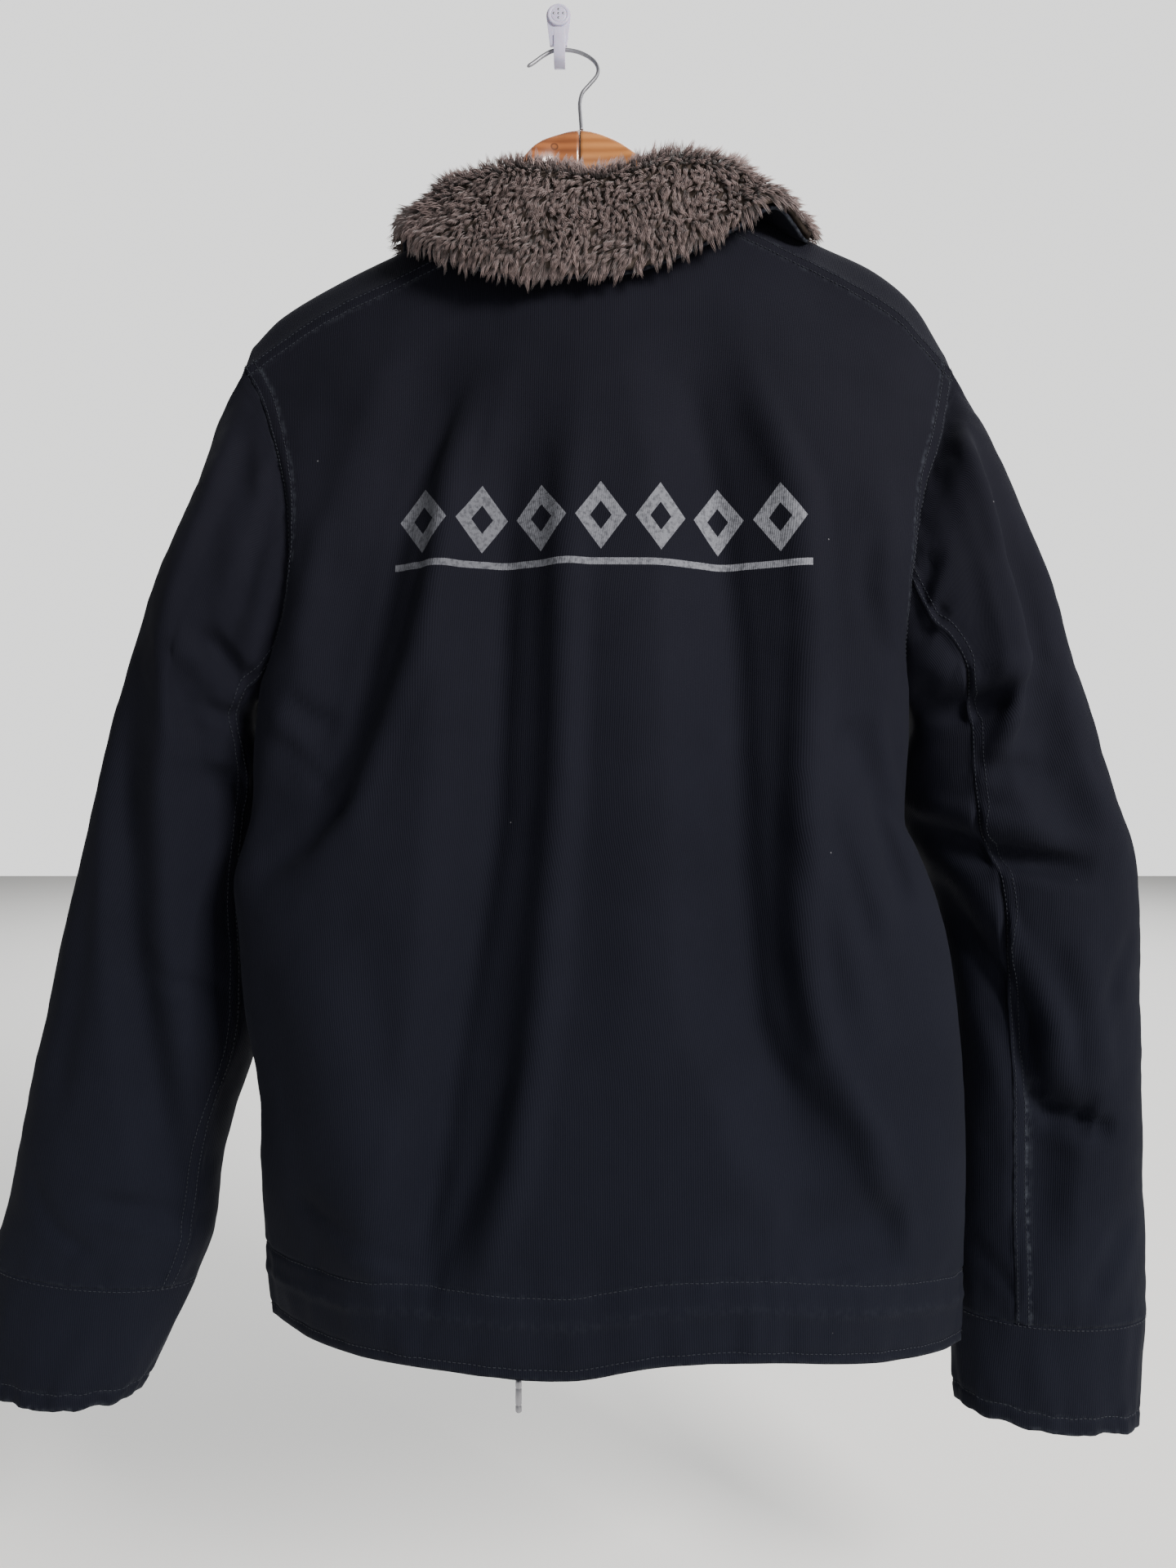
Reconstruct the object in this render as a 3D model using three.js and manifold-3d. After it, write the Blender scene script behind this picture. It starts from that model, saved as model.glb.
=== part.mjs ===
// A navy deck jacket with a fur collar, hung with its back to the room on a wooden hanger, whose wire
// hangs in a small plastic wall hook. Millimetres: x to the right, y into the wall, z up, and the
// origin on the back face of the wall hook's plate.
import * as THREE from "three";
import { mergeVertices } from "three/addons/utils/BufferGeometryUtils.js";
import Module from "manifold-3d";

const wasm = await Module();
wasm.setup();

// Driving sizes of the cloth
const WALL = 2.4;
const SEAM_GAP = 0.3;
const CENTRE_X = 33;
const FRONT_HEM = -897;
const SHOULDER_STEPS = 10;
const BACK_NECK_STEPS = 10;
const FRONT_NECK_STEPS = 4;
const HALF_ARMHOLE_STEPS = 12;
const OVER_SHOULDER_STEPS = 4;
const SLEEVE_STEPS = 18;
const CUFF_STEPS = 3;
const SECTION_ROUNDNESS = 2.4;
const CHANNEL_HEIGHT = 50;
const CHANNEL_SWELL = 2;

// How much more a sleeve's faces count than the body's for the direction of the wall at an armhole
const SLEEVE_WEIGHT = 5;

// Shares of a panel's height over which it runs into its top line and its hem line
const TOP_BLEND = 0.28;
const HEM_BLEND = 0.2;

// How fast folds fade out towards their two ends, a panel's side edges and its top edge
const FOLD_END_RATE = 4;
const FOLD_END_SHARE = 0.3;
const FOLD_SIDE_RATE = 1.6;
const FOLD_TOP_RATE = 9;

// Heights of the rows of points above the hem, along the side seam
const SIDE_ROWS = [0, 12, 31, 50, 60, 95, 130, 165, 200, 235, 270, 305, 340, 372, 402];
const SIDE_LENGTH = SIDE_ROWS[SIDE_ROWS.length - 1];
const ARMHOLE_LENGTH = 250;

const COLOURS = {
  cloth: [0x14171f, 0.9, 0],
  fur: [0x6f6258, 1, 0],
  wood: [0xa5602c, 0.35, 0],
  steel: [0x9a9ca0, 0.35, 1],
  plastic: [0xd9d6e6, 0.4, 0],
  horn: [0x1c1a1a, 0.45, 0],
};

const jacket = new THREE.Group();

function addMesh(name, colour, geometry) {
  const [color, roughness, metalness] = COLOURS[colour];
  const mesh = new THREE.Mesh(geometry, new THREE.MeshStandardMaterial({ color, roughness, metalness }));
  mesh.name = name;
  jacket.add(mesh);
}

// Smooth curves through short tables

function chordKnots(rows) {
  const knots = [0];
  for (let k = 1; k < rows.length; k += 1) {
    knots.push(knots[k - 1] + Math.hypot(...rows[k].map((value, c) => value - rows[k - 1][c])));
  }
  return knots.map((knot) => knot / knots[knots.length - 1]);
}

// A curve through rows of numbers, read at its knots: shares of its length unless others are given.
function smooth(rows, knots = chordKnots(rows)) {
  const last = rows.length - 1;
  const slopes = rows.map((row, k) => {
    const before = Math.max(k - 1, 0);
    const after = Math.min(k + 1, last);
    return row.map((_, c) => (rows[after][c] - rows[before][c]) / (knots[after] - knots[before]));
  });
  return (t) => {
    let k = 0;
    while (k < last - 1 && t > knots[k + 1]) k += 1;
    const span = knots[k + 1] - knots[k];
    const s = (t - knots[k]) / span;
    const fromSlope = s * (1 - s) * (1 - s) * span;
    const toSlope = s * s * (s - 1) * span;
    const toValue = s * s * (3 - 2 * s);
    return rows[k].map((value, c) => value + (rows[k + 1][c] - value) * toValue
      + slopes[k][c] * fromSlope + slopes[k + 1][c] * toSlope);
  };
}

function mix(a, b, share) {
  return a.map((value, c) => value + (b[c] - value) * share);
}

function ease(share) {
  const s = Math.min(Math.max(share, 0), 1);
  return s * s * (3 - 2 * s);
}

// Folds: soft troughs along paths of x and z on the face that looks away from the wall.
// A negative depth is a ridge.

function foldDepth(folds, x, z) {
  let total = 0;
  for (const fold of folds) {
    let nearest = Infinity;
    let place = 0;
    for (let k = 0; k + 1 < fold.path.length; k += 1) {
      const [ax, az] = fold.path[k];
      const [bx, bz] = fold.path[k + 1];
      const lengthSquared = (bx - ax) ** 2 + (bz - az) ** 2;
      const share = ((x - ax) * (bx - ax) + (z - az) * (bz - az)) / lengthSquared;
      const along = Math.min(Math.max(share, 0), 1);
      const distance = Math.hypot(x - ax - along * (bx - ax), z - az - along * (bz - az));
      if (distance < nearest) {
        nearest = distance;
        place = (k + along) / (fold.path.length - 1);
      }
    }
    const across = 1 - Math.min(nearest / fold.width, 1) ** 2;
    const tailsOff = ease(Math.min(place, 1 - place) * FOLD_END_RATE + FOLD_END_SHARE);
    total += fold.depth * across * across * tailsOff;
  }
  return total;
}

const BACK_FOLDS = [
  { depth: 17, width: 44,
    path: [[-60, -262], [-80, -330], [-106, -415], [-122, -505], [-150, -560], [-200, -606]] },
  { depth: 15, width: 42,
    path: [[-20, -290], [-30, -400], [-34, -540], [-44, -665], [-58, -770], [-84, -845]] },
  { depth: 17, width: 44,
    path: [[76, -262], [98, -345], [108, -470], [110, -610], [118, -690], [142, -745], [176, -805]] },
  { depth: 9, width: 24, path: [[178, -505], [193, -557], [214, -615]] },
  { depth: 4, width: 30, path: [[-132, -300], [-138, -360], [-150, -430]] },
  { depth: 8, width: 36, path: [[130, -810], [170, -816], [215, -812]] },
  { depth: -7, width: 40, path: [[-150, -640], [-120, -760], [-105, -860]] },
  { depth: -6, width: 40, path: [[50, -420], [54, -560], [56, -720]] },
];
const FRONT_FOLDS = [
  { depth: -9, width: 45, path: [[-92, -380], [-100, -520], [-92, -700]] },
  { depth: -9, width: 45, path: [[150, -380], [158, -540], [150, -720]] },
];
const SLEEVE_FOLDS = {
  left: [
    { depth: -9, width: 26,
      path: [[-216, -315], [-233, -395], [-249, -510], [-250, -640], [-236, -775], [-226, -850]] },
    { depth: 12, width: 26, path: [[-252, -450], [-267, -545], [-266, -650], [-252, -770], [-240, -850]] },
    { depth: 9, width: 22, path: [[-188, -305], [-183, -370], [-203, -440], [-226, -500]] },
    { depth: 8, width: 16, path: [[-222, -540], [-205, -550], [-192, -540]] },
  ],
  right: [
    { depth: -8, width: 24, path: [[256, -318], [262, -358], [281, -424], [291, -480], [282, -535]] },
    { depth: 11, width: 26, path: [[280, -380], [300, -455], [312, -540], [340, -590]] },
    { depth: 11, width: 20, path: [[222, -488], [248, -500], [288, -486]] },
    { depth: 10, width: 20, path: [[226, -570], [262, -582], [345, -600]] },
    { depth: 9, width: 24, path: [[246, -608], [285, -665], [310, -735], [316, -790], [312, -850]] },
    { depth: 8, width: 22, path: [[318, -755], [345, -762]] },
  ],
};

// Measured lines of the jacket, each a table of x, y, z from the hem or the shoulder tip onwards

const SIDE_SEAM = {
  left: [
    [-183, -92, -889], [-186, -94, -850], [-187, -98, -790], [-187, -98, -745], [-197, -98, -690],
    [-201, -98, -640], [-204, -98, -608], [-193, -97, -565], [-192, -95, -525], [-189, -92, -486],
  ],
  right: [
    [263, -92, -907], [263, -94, -865], [261, -98, -790], [259, -98, -730], [253, -98, -665],
    [244, -98, -625], [230, -98, -588], [223, -97, -572], [226, -95, -520], [227, -92, -486],
  ],
};
const BACK_ARMHOLE = {
  left: [
    [-204, -82, -274], [-190, -94, -298], [-178, -106, -330], [-168, -115, -362], [-164, -120, -398],
    [-168, -117, -438], [-178, -106, -464], [-189, -92, -486],
  ],
  right: [
    [260, -82, -276], [254, -92, -302], [245, -104, -330], [231, -115, -366], [224, -120, -405],
    [221, -116, -440], [222, -105, -464], [227, -92, -486],
  ],
};
const OVER_TIP = {
  left: [[-204, -82, -274], [-202, -62, -252], [-198, -42, -272]],
  right: [[260, -82, -276], [258, -62, -256], [254, -42, -274]],
};
const FRONT_ARMHOLE = {
  left: [
    [-198, -42, -272], [-186, -30, -325], [-174, -26, -375], [-170, -30, -420], [-178, -52, -462],
    [-189, -92, -486],
  ],
  right: [
    [254, -42, -274], [242, -30, -325], [230, -26, -375], [222, -30, -420], [214, -52, -462],
    [227, -92, -486],
  ],
};
const SHOULDER_SEAM = {
  left: [[-204, -82, -274], [-168, -86, -250], [-138, -87, -233], [-103, -88, -217], [-51, -88, -192]],
  right: [[260, -82, -276], [238, -85, -253], [222, -86, -237], [170, -88, -208], [109, -88, -178]],
};
const SHOULDER_RIDGE = {
  left: [[-202, -62, -252], [-184, -62, -233], [-143, -61, -208], [-98, -61, -186], [-58, -60, -166]],
  right: [[258, -62, -256], [240, -62, -225], [213, -62, -202], [178, -61, -185], [114, -60, -154]],
};
const SHOULDER_FRONT = {
  left: [[-198, -42, -272], [-180, -42, -250], [-140, -42, -226], [-98, -43, -204], [-54, -45, -184]],
  right: [[254, -42, -274], [235, -42, -244], [210, -42, -221], [172, -43, -202], [110, -45, -172]],
};
const BACK_NECK = [[-51, -88, -192], [-15, -98, -197], [29, -102, -199], [74, -98, -191], [109, -88, -178]];
const FRONT_NECK = {
  left: [[-54, -45, -184], [-38, -45, -214], [-8, -43, -240], [33, -42, -251]],
  right: [[110, -45, -172], [97, -45, -206], [70, -43, -238], [33, -42, -251]],
};
const BACK_HEM = [
  [-183, -92, -889], [-146, -128, -891], [-98, -155, -890], [-37, -167, -893], [13, -169, -895],
  [55, -169, -888], [83, -168, -886], [118, -165, -886], [168, -154, -892], [202, -142, -897],
  [240, -118, -902], [263, -92, -907],
];

// Depth of each face at its middle: rows of height and y
const BACK_DEPTH = [
  [-160, -96], [-240, -120], [-300, -136], [-400, -154], [-500, -163], [-650, -168], [-800, -170],
  [-910, -168],
];
const FRONT_DEPTH = [
  [-160, -44], [-260, -41], [-330, -36], [-400, -27], [-500, -19], [-650, -17], [-910, -17],
];

// Sleeve sections: the outer and inner point of each, then how far it swells away from the wall and
// towards it, and how far the first sections bow towards the body.
const SLEEVE_SECTIONS = {
  left: [
    { outer: [-224, -82, -316], inner: [-199, -90, -490], back: 43, front: 58, bow: 20 },
    { outer: [-236, -82, -354], inner: [-204, -87, -497], back: 46, front: 60, bow: 10 },
    { outer: [-248, -82, -386], inner: [-207, -83, -506], back: 47, front: 58, bow: 4 },
    { outer: [-262, -82, -423], inner: [-206, -79, -517], back: 47, front: 55, bow: 0 },
    { outer: [-277, -80, -469], inner: [-203, -73, -531], back: 46, front: 51, bow: 0 },
    { outer: [-290, -78, -514], inner: [-201, -64, -551], back: 48, front: 47, bow: 0 },
    { outer: [-303, -76, -560], inner: [-203, -55, -588], back: 49, front: 43, bow: 0 },
    { outer: [-314, -74, -604], inner: [-204, -51, -626], back: 48, front: 40, bow: 0 },
    { outer: [-326, -72, -650], inner: [-201, -50, -670], back: 47, front: 39, bow: 0 },
    { outer: [-338, -70, -702], inner: [-203, -50, -716], back: 46, front: 38, bow: 0 },
    { outer: [-349, -68, -751], inner: [-219, -50, -766], back: 44, front: 37, bow: 0 },
    { outer: [-359, -66, -796], inner: [-228, -50, -806], back: 42, front: 36, bow: 0 },
    { outer: [-369, -64, -837], inner: [-235, -52, -853], back: 39, front: 35, bow: 0 },
    { outer: [-379, -62, -863], inner: [-245, -54, -881], back: 36, front: 34, bow: 0 },
    { outer: [-383, -62, -904], inner: [-260, -56, -914], back: 35, front: 33, bow: 0 },
    { outer: [-381, -62, -948], inner: [-282, -58, -956], back: 33, front: 32, bow: 0 },
  ],
  right: [
    { outer: [276, -82, -303], inner: [237, -90, -490], back: 43, front: 58, bow: -14 },
    { outer: [290, -82, -333], inner: [242, -87, -497], back: 46, front: 60, bow: -8 },
    { outer: [305, -82, -371], inner: [245, -83, -506], back: 47, front: 58, bow: -3 },
    { outer: [321, -82, -415], inner: [244, -79, -517], back: 47, front: 55, bow: 0 },
    { outer: [338, -80, -463], inner: [241, -73, -531], back: 46, front: 51, bow: 0 },
    { outer: [354, -78, -512], inner: [239, -64, -550], back: 48, front: 47, bow: 0 },
    { outer: [368, -76, -555], inner: [242, -55, -576], back: 49, front: 43, bow: 0 },
    { outer: [382, -74, -595], inner: [254, -51, -608], back: 48, front: 40, bow: 0 },
    { outer: [385, -72, -639], inner: [261, -50, -647], back: 47, front: 39, bow: 0 },
    { outer: [386, -70, -688], inner: [266, -50, -693], back: 46, front: 38, bow: 0 },
    { outer: [388, -68, -738], inner: [268, -50, -741], back: 44, front: 37, bow: 0 },
    { outer: [390, -66, -787], inner: [268, -50, -790], back: 42, front: 36, bow: 0 },
    { outer: [392, -64, -837], inner: [268, -52, -838], back: 39, front: 35, bow: 0 },
    { outer: [395, -62, -899], inner: [269, -54, -898], back: 36, front: 34, bow: 0 },
    { outer: [392, -62, -932], inner: [269, -56, -929], back: 35, front: 33, bow: 0 },
    { outer: [391, -62, -973], inner: [270, -58, -962], back: 33, front: 32, bow: 0 },
  ],
};
const CUFF_SECTION = 14;

// Panels are grids of points, sewn from four edges

function depthAt(table, z) {
  const rows = [...table].reverse();
  return smooth(rows.map((row) => [row[1]]), rows.map((row) => row[0]))(z)[0];
}

// Points of a panel between its side, top and hem lines. Its depth follows a rounded section between
// the depth of its side edges and the depth table of its face.
function panelGrid({ sides, top, hem, rows, shares, sectionAt, faceDepth, folds, foldSign }) {
  const columns = top.length - 1;
  const topRow = rows.length - 1;
  return rows.map((v, j) => shares.map((u, i) => {
    const [start, end] = sides.map((side) => side[j]);
    const corners = mix(mix(hem[0], hem[columns], u), mix(top[0], top[columns], u), v);
    const flat = mix(hem[i], top[i], v).map((value, c) => value + mix(start, end, u)[c] - corners[c]);
    const section = sectionAt(u);
    const edgeDepth = mix([start[1]], [end[1]], u)[0];
    const depth = edgeDepth + (depthAt(faceDepth, flat[2]) - edgeDepth) * section;
    const topDepth = mix([sides[0][topRow][1]], [sides[1][topRow][1]], u)[0];
    const topByTable = topDepth + (depthAt(faceDepth, top[i][2]) - topDepth) * section;
    const hemDepth = mix([sides[0][0][1]], [sides[1][0][1]], u)[0];
    const hemByTable = hemDepth + (depthAt(faceDepth, hem[i][2]) - hemDepth) * section;
    const nearTop = ease((v - 1 + TOP_BLEND) / TOP_BLEND);
    const nearHem = ease((HEM_BLEND - v) / HEM_BLEND);
    let y = depth + nearTop * (top[i][1] - topByTable) + nearHem * (hem[i][1] - hemByTable);
    const fade = ease(section * FOLD_SIDE_RATE) * ease((1 - v) * FOLD_TOP_RATE);
    y += foldSign * foldDepth(folds, flat[0], flat[2]) * fade;
    y -= foldSign * channelSwell(v * (top[i][2] - hem[i][2])) * Math.min(section * 2, 1);
    return [flat[0], y, flat[2]];
  }));
}

// The turned-up hem stands proud of the panel over the cord that runs in it.
function channelSwell(height) {
  const share = height / CHANNEL_HEIGHT;
  return share > 0 && share < 1 ? CHANNEL_SWELL * Math.sin(Math.PI * share) : 0;
}

function roundSection(share) {
  return (1 - (1 - Math.min(share, 1)) ** SECTION_ROUNDNESS) ** (1 / SECTION_ROUNDNESS);
}

function sample(curve, steps) {
  return Array.from({ length: steps + 1 }, (_, k) => curve(k / steps));
}

const totalLength = SIDE_LENGTH + ARMHOLE_LENGTH;
const sideShare = SIDE_LENGTH / totalLength;
const sideRows = SIDE_ROWS.map((height) => height / totalLength);

// Every edge point that two pieces share, worked out once for each side.
function edgesOf(side) {
  const seam = smooth(SIDE_SEAM[side]);
  const overTip = smooth(OVER_TIP[side]);
  return {
    sideSeam: SIDE_ROWS.map((height) => seam(height / SIDE_LENGTH)),
    backArmhole: sample(smooth(BACK_ARMHOLE[side]), HALF_ARMHOLE_STEPS),
    overTip: sample(overTip, OVER_SHOULDER_STEPS),
    frontArmhole: sample(smooth(FRONT_ARMHOLE[side]), HALF_ARMHOLE_STEPS - OVER_SHOULDER_STEPS),
    seam: sample(smooth(SHOULDER_SEAM[side]), SHOULDER_STEPS),
    ridge: sample(smooth(SHOULDER_RIDGE[side]), SHOULDER_STEPS),
    front: sample(smooth(SHOULDER_FRONT[side]), SHOULDER_STEPS),
    frontNeck: sample(smooth(FRONT_NECK[side]), FRONT_NECK_STEPS),
  };
}
const edges = { left: edgesOf("left"), right: edgesOf("right") };

function backGrid() {
  const rise = (side) => [...edges[side].sideSeam, ...[...edges[side].backArmhole].reverse().slice(1)];
  const top = [
    ...edges.left.seam,
    ...sample(smooth(BACK_NECK), BACK_NECK_STEPS).slice(1, -1),
    ...[...edges.right.seam].reverse(),
  ];
  const columns = top.length - 1;
  const shares = top.map((_, i) => i / columns);
  const hem = shares.map(smooth(BACK_HEM));
  const armholeRows = Array.from({ length: HALF_ARMHOLE_STEPS },
    (_, k) => sideShare + (1 - sideShare) * (k + 1) / HALF_ARMHOLE_STEPS);
  return panelGrid({
    sides: [rise("left"), rise("right")], top, hem, shares, rows: [...sideRows, ...armholeRows],
    sectionAt: (u) => roundSection(2 * Math.min(u, 1 - u)),
    faceDepth: BACK_DEPTH, folds: BACK_FOLDS, foldSign: 1,
  });
}

function frontGrid(side) {
  const { sideSeam, frontArmhole, front, frontNeck } = edges[side];
  const rise = [...sideSeam, ...[...frontArmhole].reverse().slice(1)];
  const top = [...front, ...frontNeck.slice(1)];
  const columns = top.length - 1;
  const shares = top.map((_, i) => i / columns);
  const [edgeX, edgeY, edgeZ] = SIDE_SEAM[side][0];
  const hem = shares.map((u) => {
    const y = edgeY + (FRONT_DEPTH[FRONT_DEPTH.length - 1][1] - edgeY) * roundSection(u);
    return [edgeX + (CENTRE_X - edgeX) * u, y, edgeZ + (FRONT_HEM - edgeZ) * u];
  });
  const armholeSteps = HALF_ARMHOLE_STEPS - OVER_SHOULDER_STEPS;
  const armholeRows = Array.from({ length: armholeSteps },
    (_, k) => sideShare + (1 - sideShare) * (k + 1) / armholeSteps);
  const rows = [...sideRows, ...armholeRows];
  const neckFoot = frontNeck[FRONT_NECK_STEPS];
  const hemFoot = hem[columns];
  const centre = rows.map((v) => mix(hemFoot, neckFoot, v));
  return panelGrid({
    sides: [rise, centre.map(([x, , z]) => [x, depthAt(FRONT_DEPTH, z), z])],
    top, hem, shares, rows,
    sectionAt: roundSection,
    faceDepth: FRONT_DEPTH, folds: FRONT_FOLDS, foldSign: -1,
  });
}

// The strip of each front that wraps over the shoulder, from its face to the seam on the back.
function overShoulderGrid(side) {
  const { seam, ridge, front, overTip } = edges[side];
  const strip = seam.map((_, i) => sample(smooth([front[i], ridge[i], seam[i]]), OVER_SHOULDER_STEPS));
  strip[0] = [...overTip].reverse();
  return Array.from({ length: OVER_SHOULDER_STEPS + 1 }, (_, j) => strip.map((column) => column[j]));
}

// Sleeve: rings of points that start on the armhole, outermost point first, then round the side that
// looks away from the wall, the inner point, and back along the side that looks to the wall.
function sleeveRings(side) {
  const { backArmhole, overTip, frontArmhole } = edges[side];
  const around = 2 * HALF_ARMHOLE_STEPS;
  const armhole = [
    ...backArmhole,
    ...[...frontArmhole].reverse().slice(1),
    ...[...overTip].reverse().slice(1, -1),
  ];
  const rings = [armhole, ...SLEEVE_SECTIONS[side].map(({ outer, inner, back, front, bow }) => {
    return Array.from({ length: around }, (_, c) => {
      const angle = 2 * Math.PI * c / around;
      const swell = Math.sin(angle);
      const [x, y, z] = mix(inner, outer, 0.5 + 0.5 * Math.cos(angle));
      return [x + bow * Math.abs(swell), y - (swell > 0 ? back : front) * swell, z];
    });
  })];
  const knots = rings.map((_, k) => k);
  return Array.from({ length: around }, (_, c) => smooth(rings.map((ring) => ring[c]), knots));
}

function sleeveGrid(side, fromSection, toSection, steps) {
  const columns = sleeveRings(side);
  const folds = SLEEVE_FOLDS[side];
  return Array.from({ length: steps + 1 }, (_, j) => {
    const section = fromSection + (toSection - fromSection) * j / steps;
    return columns.map((column, c) => {
      const [x, y, z] = column(section);
      const facing = Math.sin(2 * Math.PI * c / columns.length);
      const clearOfEnds = ease(section) * ease(CUFF_SECTION - section);
      const depth = foldDepth(folds, x, z) * Math.max(facing, 0) * clearOfEnds;
      return [x, y + depth, z];
    });
  });
}

function stretchOf(grid, from, to) {
  return grid.map((row) => Array.from({ length: to - from + 1 }, (_, k) => row[(from + k) % row.length]));
}

// Sewing: pieces share the direction of their thickness wherever their points meet, so that their
// edges lie side by side, half a seam gap back each.

const keyOf = (point) => point.map((value) => Math.round(value * 100)).join(" ");
const seamDirections = new Map();
const clothPieces = [];

function facesOf(grids) {
  const faces = [];
  for (const { grid, turned } of grids) {
    for (let j = 0; j + 1 < grid.length; j += 1) {
      for (let i = 0; i + 1 < grid[j].length; i += 1) {
        const face = [grid[j][i], grid[j][i + 1], grid[j + 1][i + 1], grid[j + 1][i]];
        faces.push(turned ? face.reverse() : face);
      }
    }
  }
  return faces;
}

function addCloth(name, grids, weight = 1) {
  const faces = facesOf(grids);
  for (const face of faces) {
    const [a, b, c, d] = face.map((point) => new THREE.Vector3(...point));
    const direction = new THREE.Vector3().crossVectors(c.clone().sub(a), d.clone().sub(b));
    for (const point of face) {
      const key = keyOf(point);
      if (!seamDirections.has(key)) seamDirections.set(key, new THREE.Vector3());
      seamDirections.get(key).addScaledVector(direction, weight);
    }
  }
  clothPieces.push({ name, faces });
}

function sewPiece({ name, faces }) {
  const points = new Map();
  for (const face of faces) {
    for (const point of face) {
      const key = keyOf(point);
      if (points.has(key)) continue;
      const out = seamDirections.get(key).clone().normalize();
      const at = new THREE.Vector3(...point);
      points.set(key, { key, index: points.size, at, out, pull: new THREE.Vector3() });
    }
  }
  const corners = faces.map((face) => face.map((point) => points.get(keyOf(point))));
  const sidesOf = (face) => face.map((corner, k) => [corner, face[(k + 1) % 4]]);
  const used = new Set(corners.flatMap(sidesOf).map(([from, to]) => `${from.index} ${to.index}`));
  const rim = [];
  for (const [from, to] of corners.flatMap(sidesOf)) {
    if (used.has(`${to.index} ${from.index}`)) continue;
    rim.push([from, to]);
    const along = to.at.clone().sub(from.at).normalize();
    for (const corner of [from, to]) corner.pull.add(corner.out.clone().cross(along).normalize());
  }
  const positions = [];
  const outerCount = points.size;
  const list = [...points.values()];
  for (const { at, pull } of list) {
    at.addScaledVector(pull.clampLength(0, Math.SQRT2), SEAM_GAP / 2);
    positions.push(...at.toArray());
  }
  for (const { at, out } of list) positions.push(...at.clone().addScaledVector(out, -WALL).toArray());
  const index = [];
  for (const face of corners) {
    const [a, b, c, d] = face;
    const shortWay = a.at.distanceTo(c.at) <= b.at.distanceTo(d.at);
    const halves = shortWay ? [[a, b, c], [a, c, d]] : [[a, b, d], [b, c, d]];
    for (const half of halves) {
      const [p, q, r] = half.map((corner) => corner.index);
      index.push(p, q, r, r + outerCount, q + outerCount, p + outerCount);
    }
  }
  for (const [from, to] of rim) {
    const [p, q] = [from.index, to.index];
    if (from.key < to.key) index.push(q, p, p + outerCount, q, p + outerCount, q + outerCount);
    else index.push(q, p, q + outerCount, p, p + outerCount, q + outerCount);
  }
  addMesh(name, "cloth", indexedGeometry(positions, index));
}

// Closed solid between two grids of the same size, the outer one wound to face out.
function layerGeometry(outer, inner) {
  const [rows, columns] = [outer.length, outer[0].length];
  const at = (layer, j, i) => layer * rows * columns + j * columns + i;
  const index = [];
  const quad = (a, b, c, d) => index.push(a, b, c, a, c, d);
  for (let j = 0; j + 1 < rows; j += 1) {
    for (let i = 0; i + 1 < columns; i += 1) {
      quad(at(0, j, i), at(0, j, i + 1), at(0, j + 1, i + 1), at(0, j + 1, i));
      quad(at(1, j, i), at(1, j + 1, i), at(1, j + 1, i + 1), at(1, j, i + 1));
    }
  }
  for (let i = 0; i + 1 < columns; i += 1) {
    quad(at(0, 0, i + 1), at(0, 0, i), at(1, 0, i), at(1, 0, i + 1));
    quad(at(0, rows - 1, i), at(0, rows - 1, i + 1), at(1, rows - 1, i + 1), at(1, rows - 1, i));
  }
  for (let j = 0; j + 1 < rows; j += 1) {
    quad(at(0, j, 0), at(0, j + 1, 0), at(1, j + 1, 0), at(1, j, 0));
    quad(at(0, j + 1, columns - 1), at(0, j, columns - 1), at(1, j, columns - 1), at(1, j + 1, columns - 1));
  }
  return indexedGeometry([...outer.flat(), ...inner.flat()].flat(), index);
}

function indexedGeometry(positions, index) {
  const geometry = new THREE.BufferGeometry();
  geometry.setAttribute("position", new THREE.Float32BufferAttribute(positions, 3));
  geometry.setIndex(index);
  geometry.computeVertexNormals();
  return geometry;
}

const SEAM_COLUMN = HALF_ARMHOLE_STEPS / 2;
addCloth("back_panel", [{ grid: backGrid(), turned: false }]);
for (const side of ["left", "right"]) {
  const turned = side === "left";
  addCloth(`front_${side}`, [
    { grid: frontGrid(side), turned },
    { grid: overShoulderGrid(side), turned },
  ]);
  const sleeve = sleeveGrid(side, 0, CUFF_SECTION, SLEEVE_STEPS);
  const [backSeam, frontSeam] = [SEAM_COLUMN, 3 * SEAM_COLUMN];
  const outerStretch = stretchOf(sleeve, frontSeam, backSeam + 2 * HALF_ARMHOLE_STEPS);
  addCloth(`sleeve_upper_${side}`, [{ grid: outerStretch, turned }], SLEEVE_WEIGHT);
  const innerStretch = stretchOf(sleeve, backSeam, frontSeam);
  addCloth(`sleeve_under_${side}`, [{ grid: innerStretch, turned }], SLEEVE_WEIGHT);
  const cuff = sleeveGrid(side, CUFF_SECTION, SLEEVE_SECTIONS[side].length, CUFF_STEPS);
  const cuffRing = stretchOf(cuff, 0, 2 * HALF_ARMHOLE_STEPS);
  addCloth(`cuff_${side}`, [{ grid: cuffRing, turned }], SLEEVE_WEIGHT);
}
for (const piece of clothPieces) sewPiece(piece);

// Wind flap: buttoned over the front opening, made from the points of both fronts, moved out.
const FLAP_GAP = 0.7;
const FLAP_THICKNESS = 2.5;
const FLAP_LINES = [5, 19, 33, 47, 61];

function pointAcross(row, x) {
  const next = row.findIndex((point, k) => k > 0 && (point[0] - x) * (row[k - 1][0] - x) <= 0);
  const [a, b] = [row[next - 1], row[next]];
  return mix(a, b, (x - a[0]) / (b[0] - a[0]));
}

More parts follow.
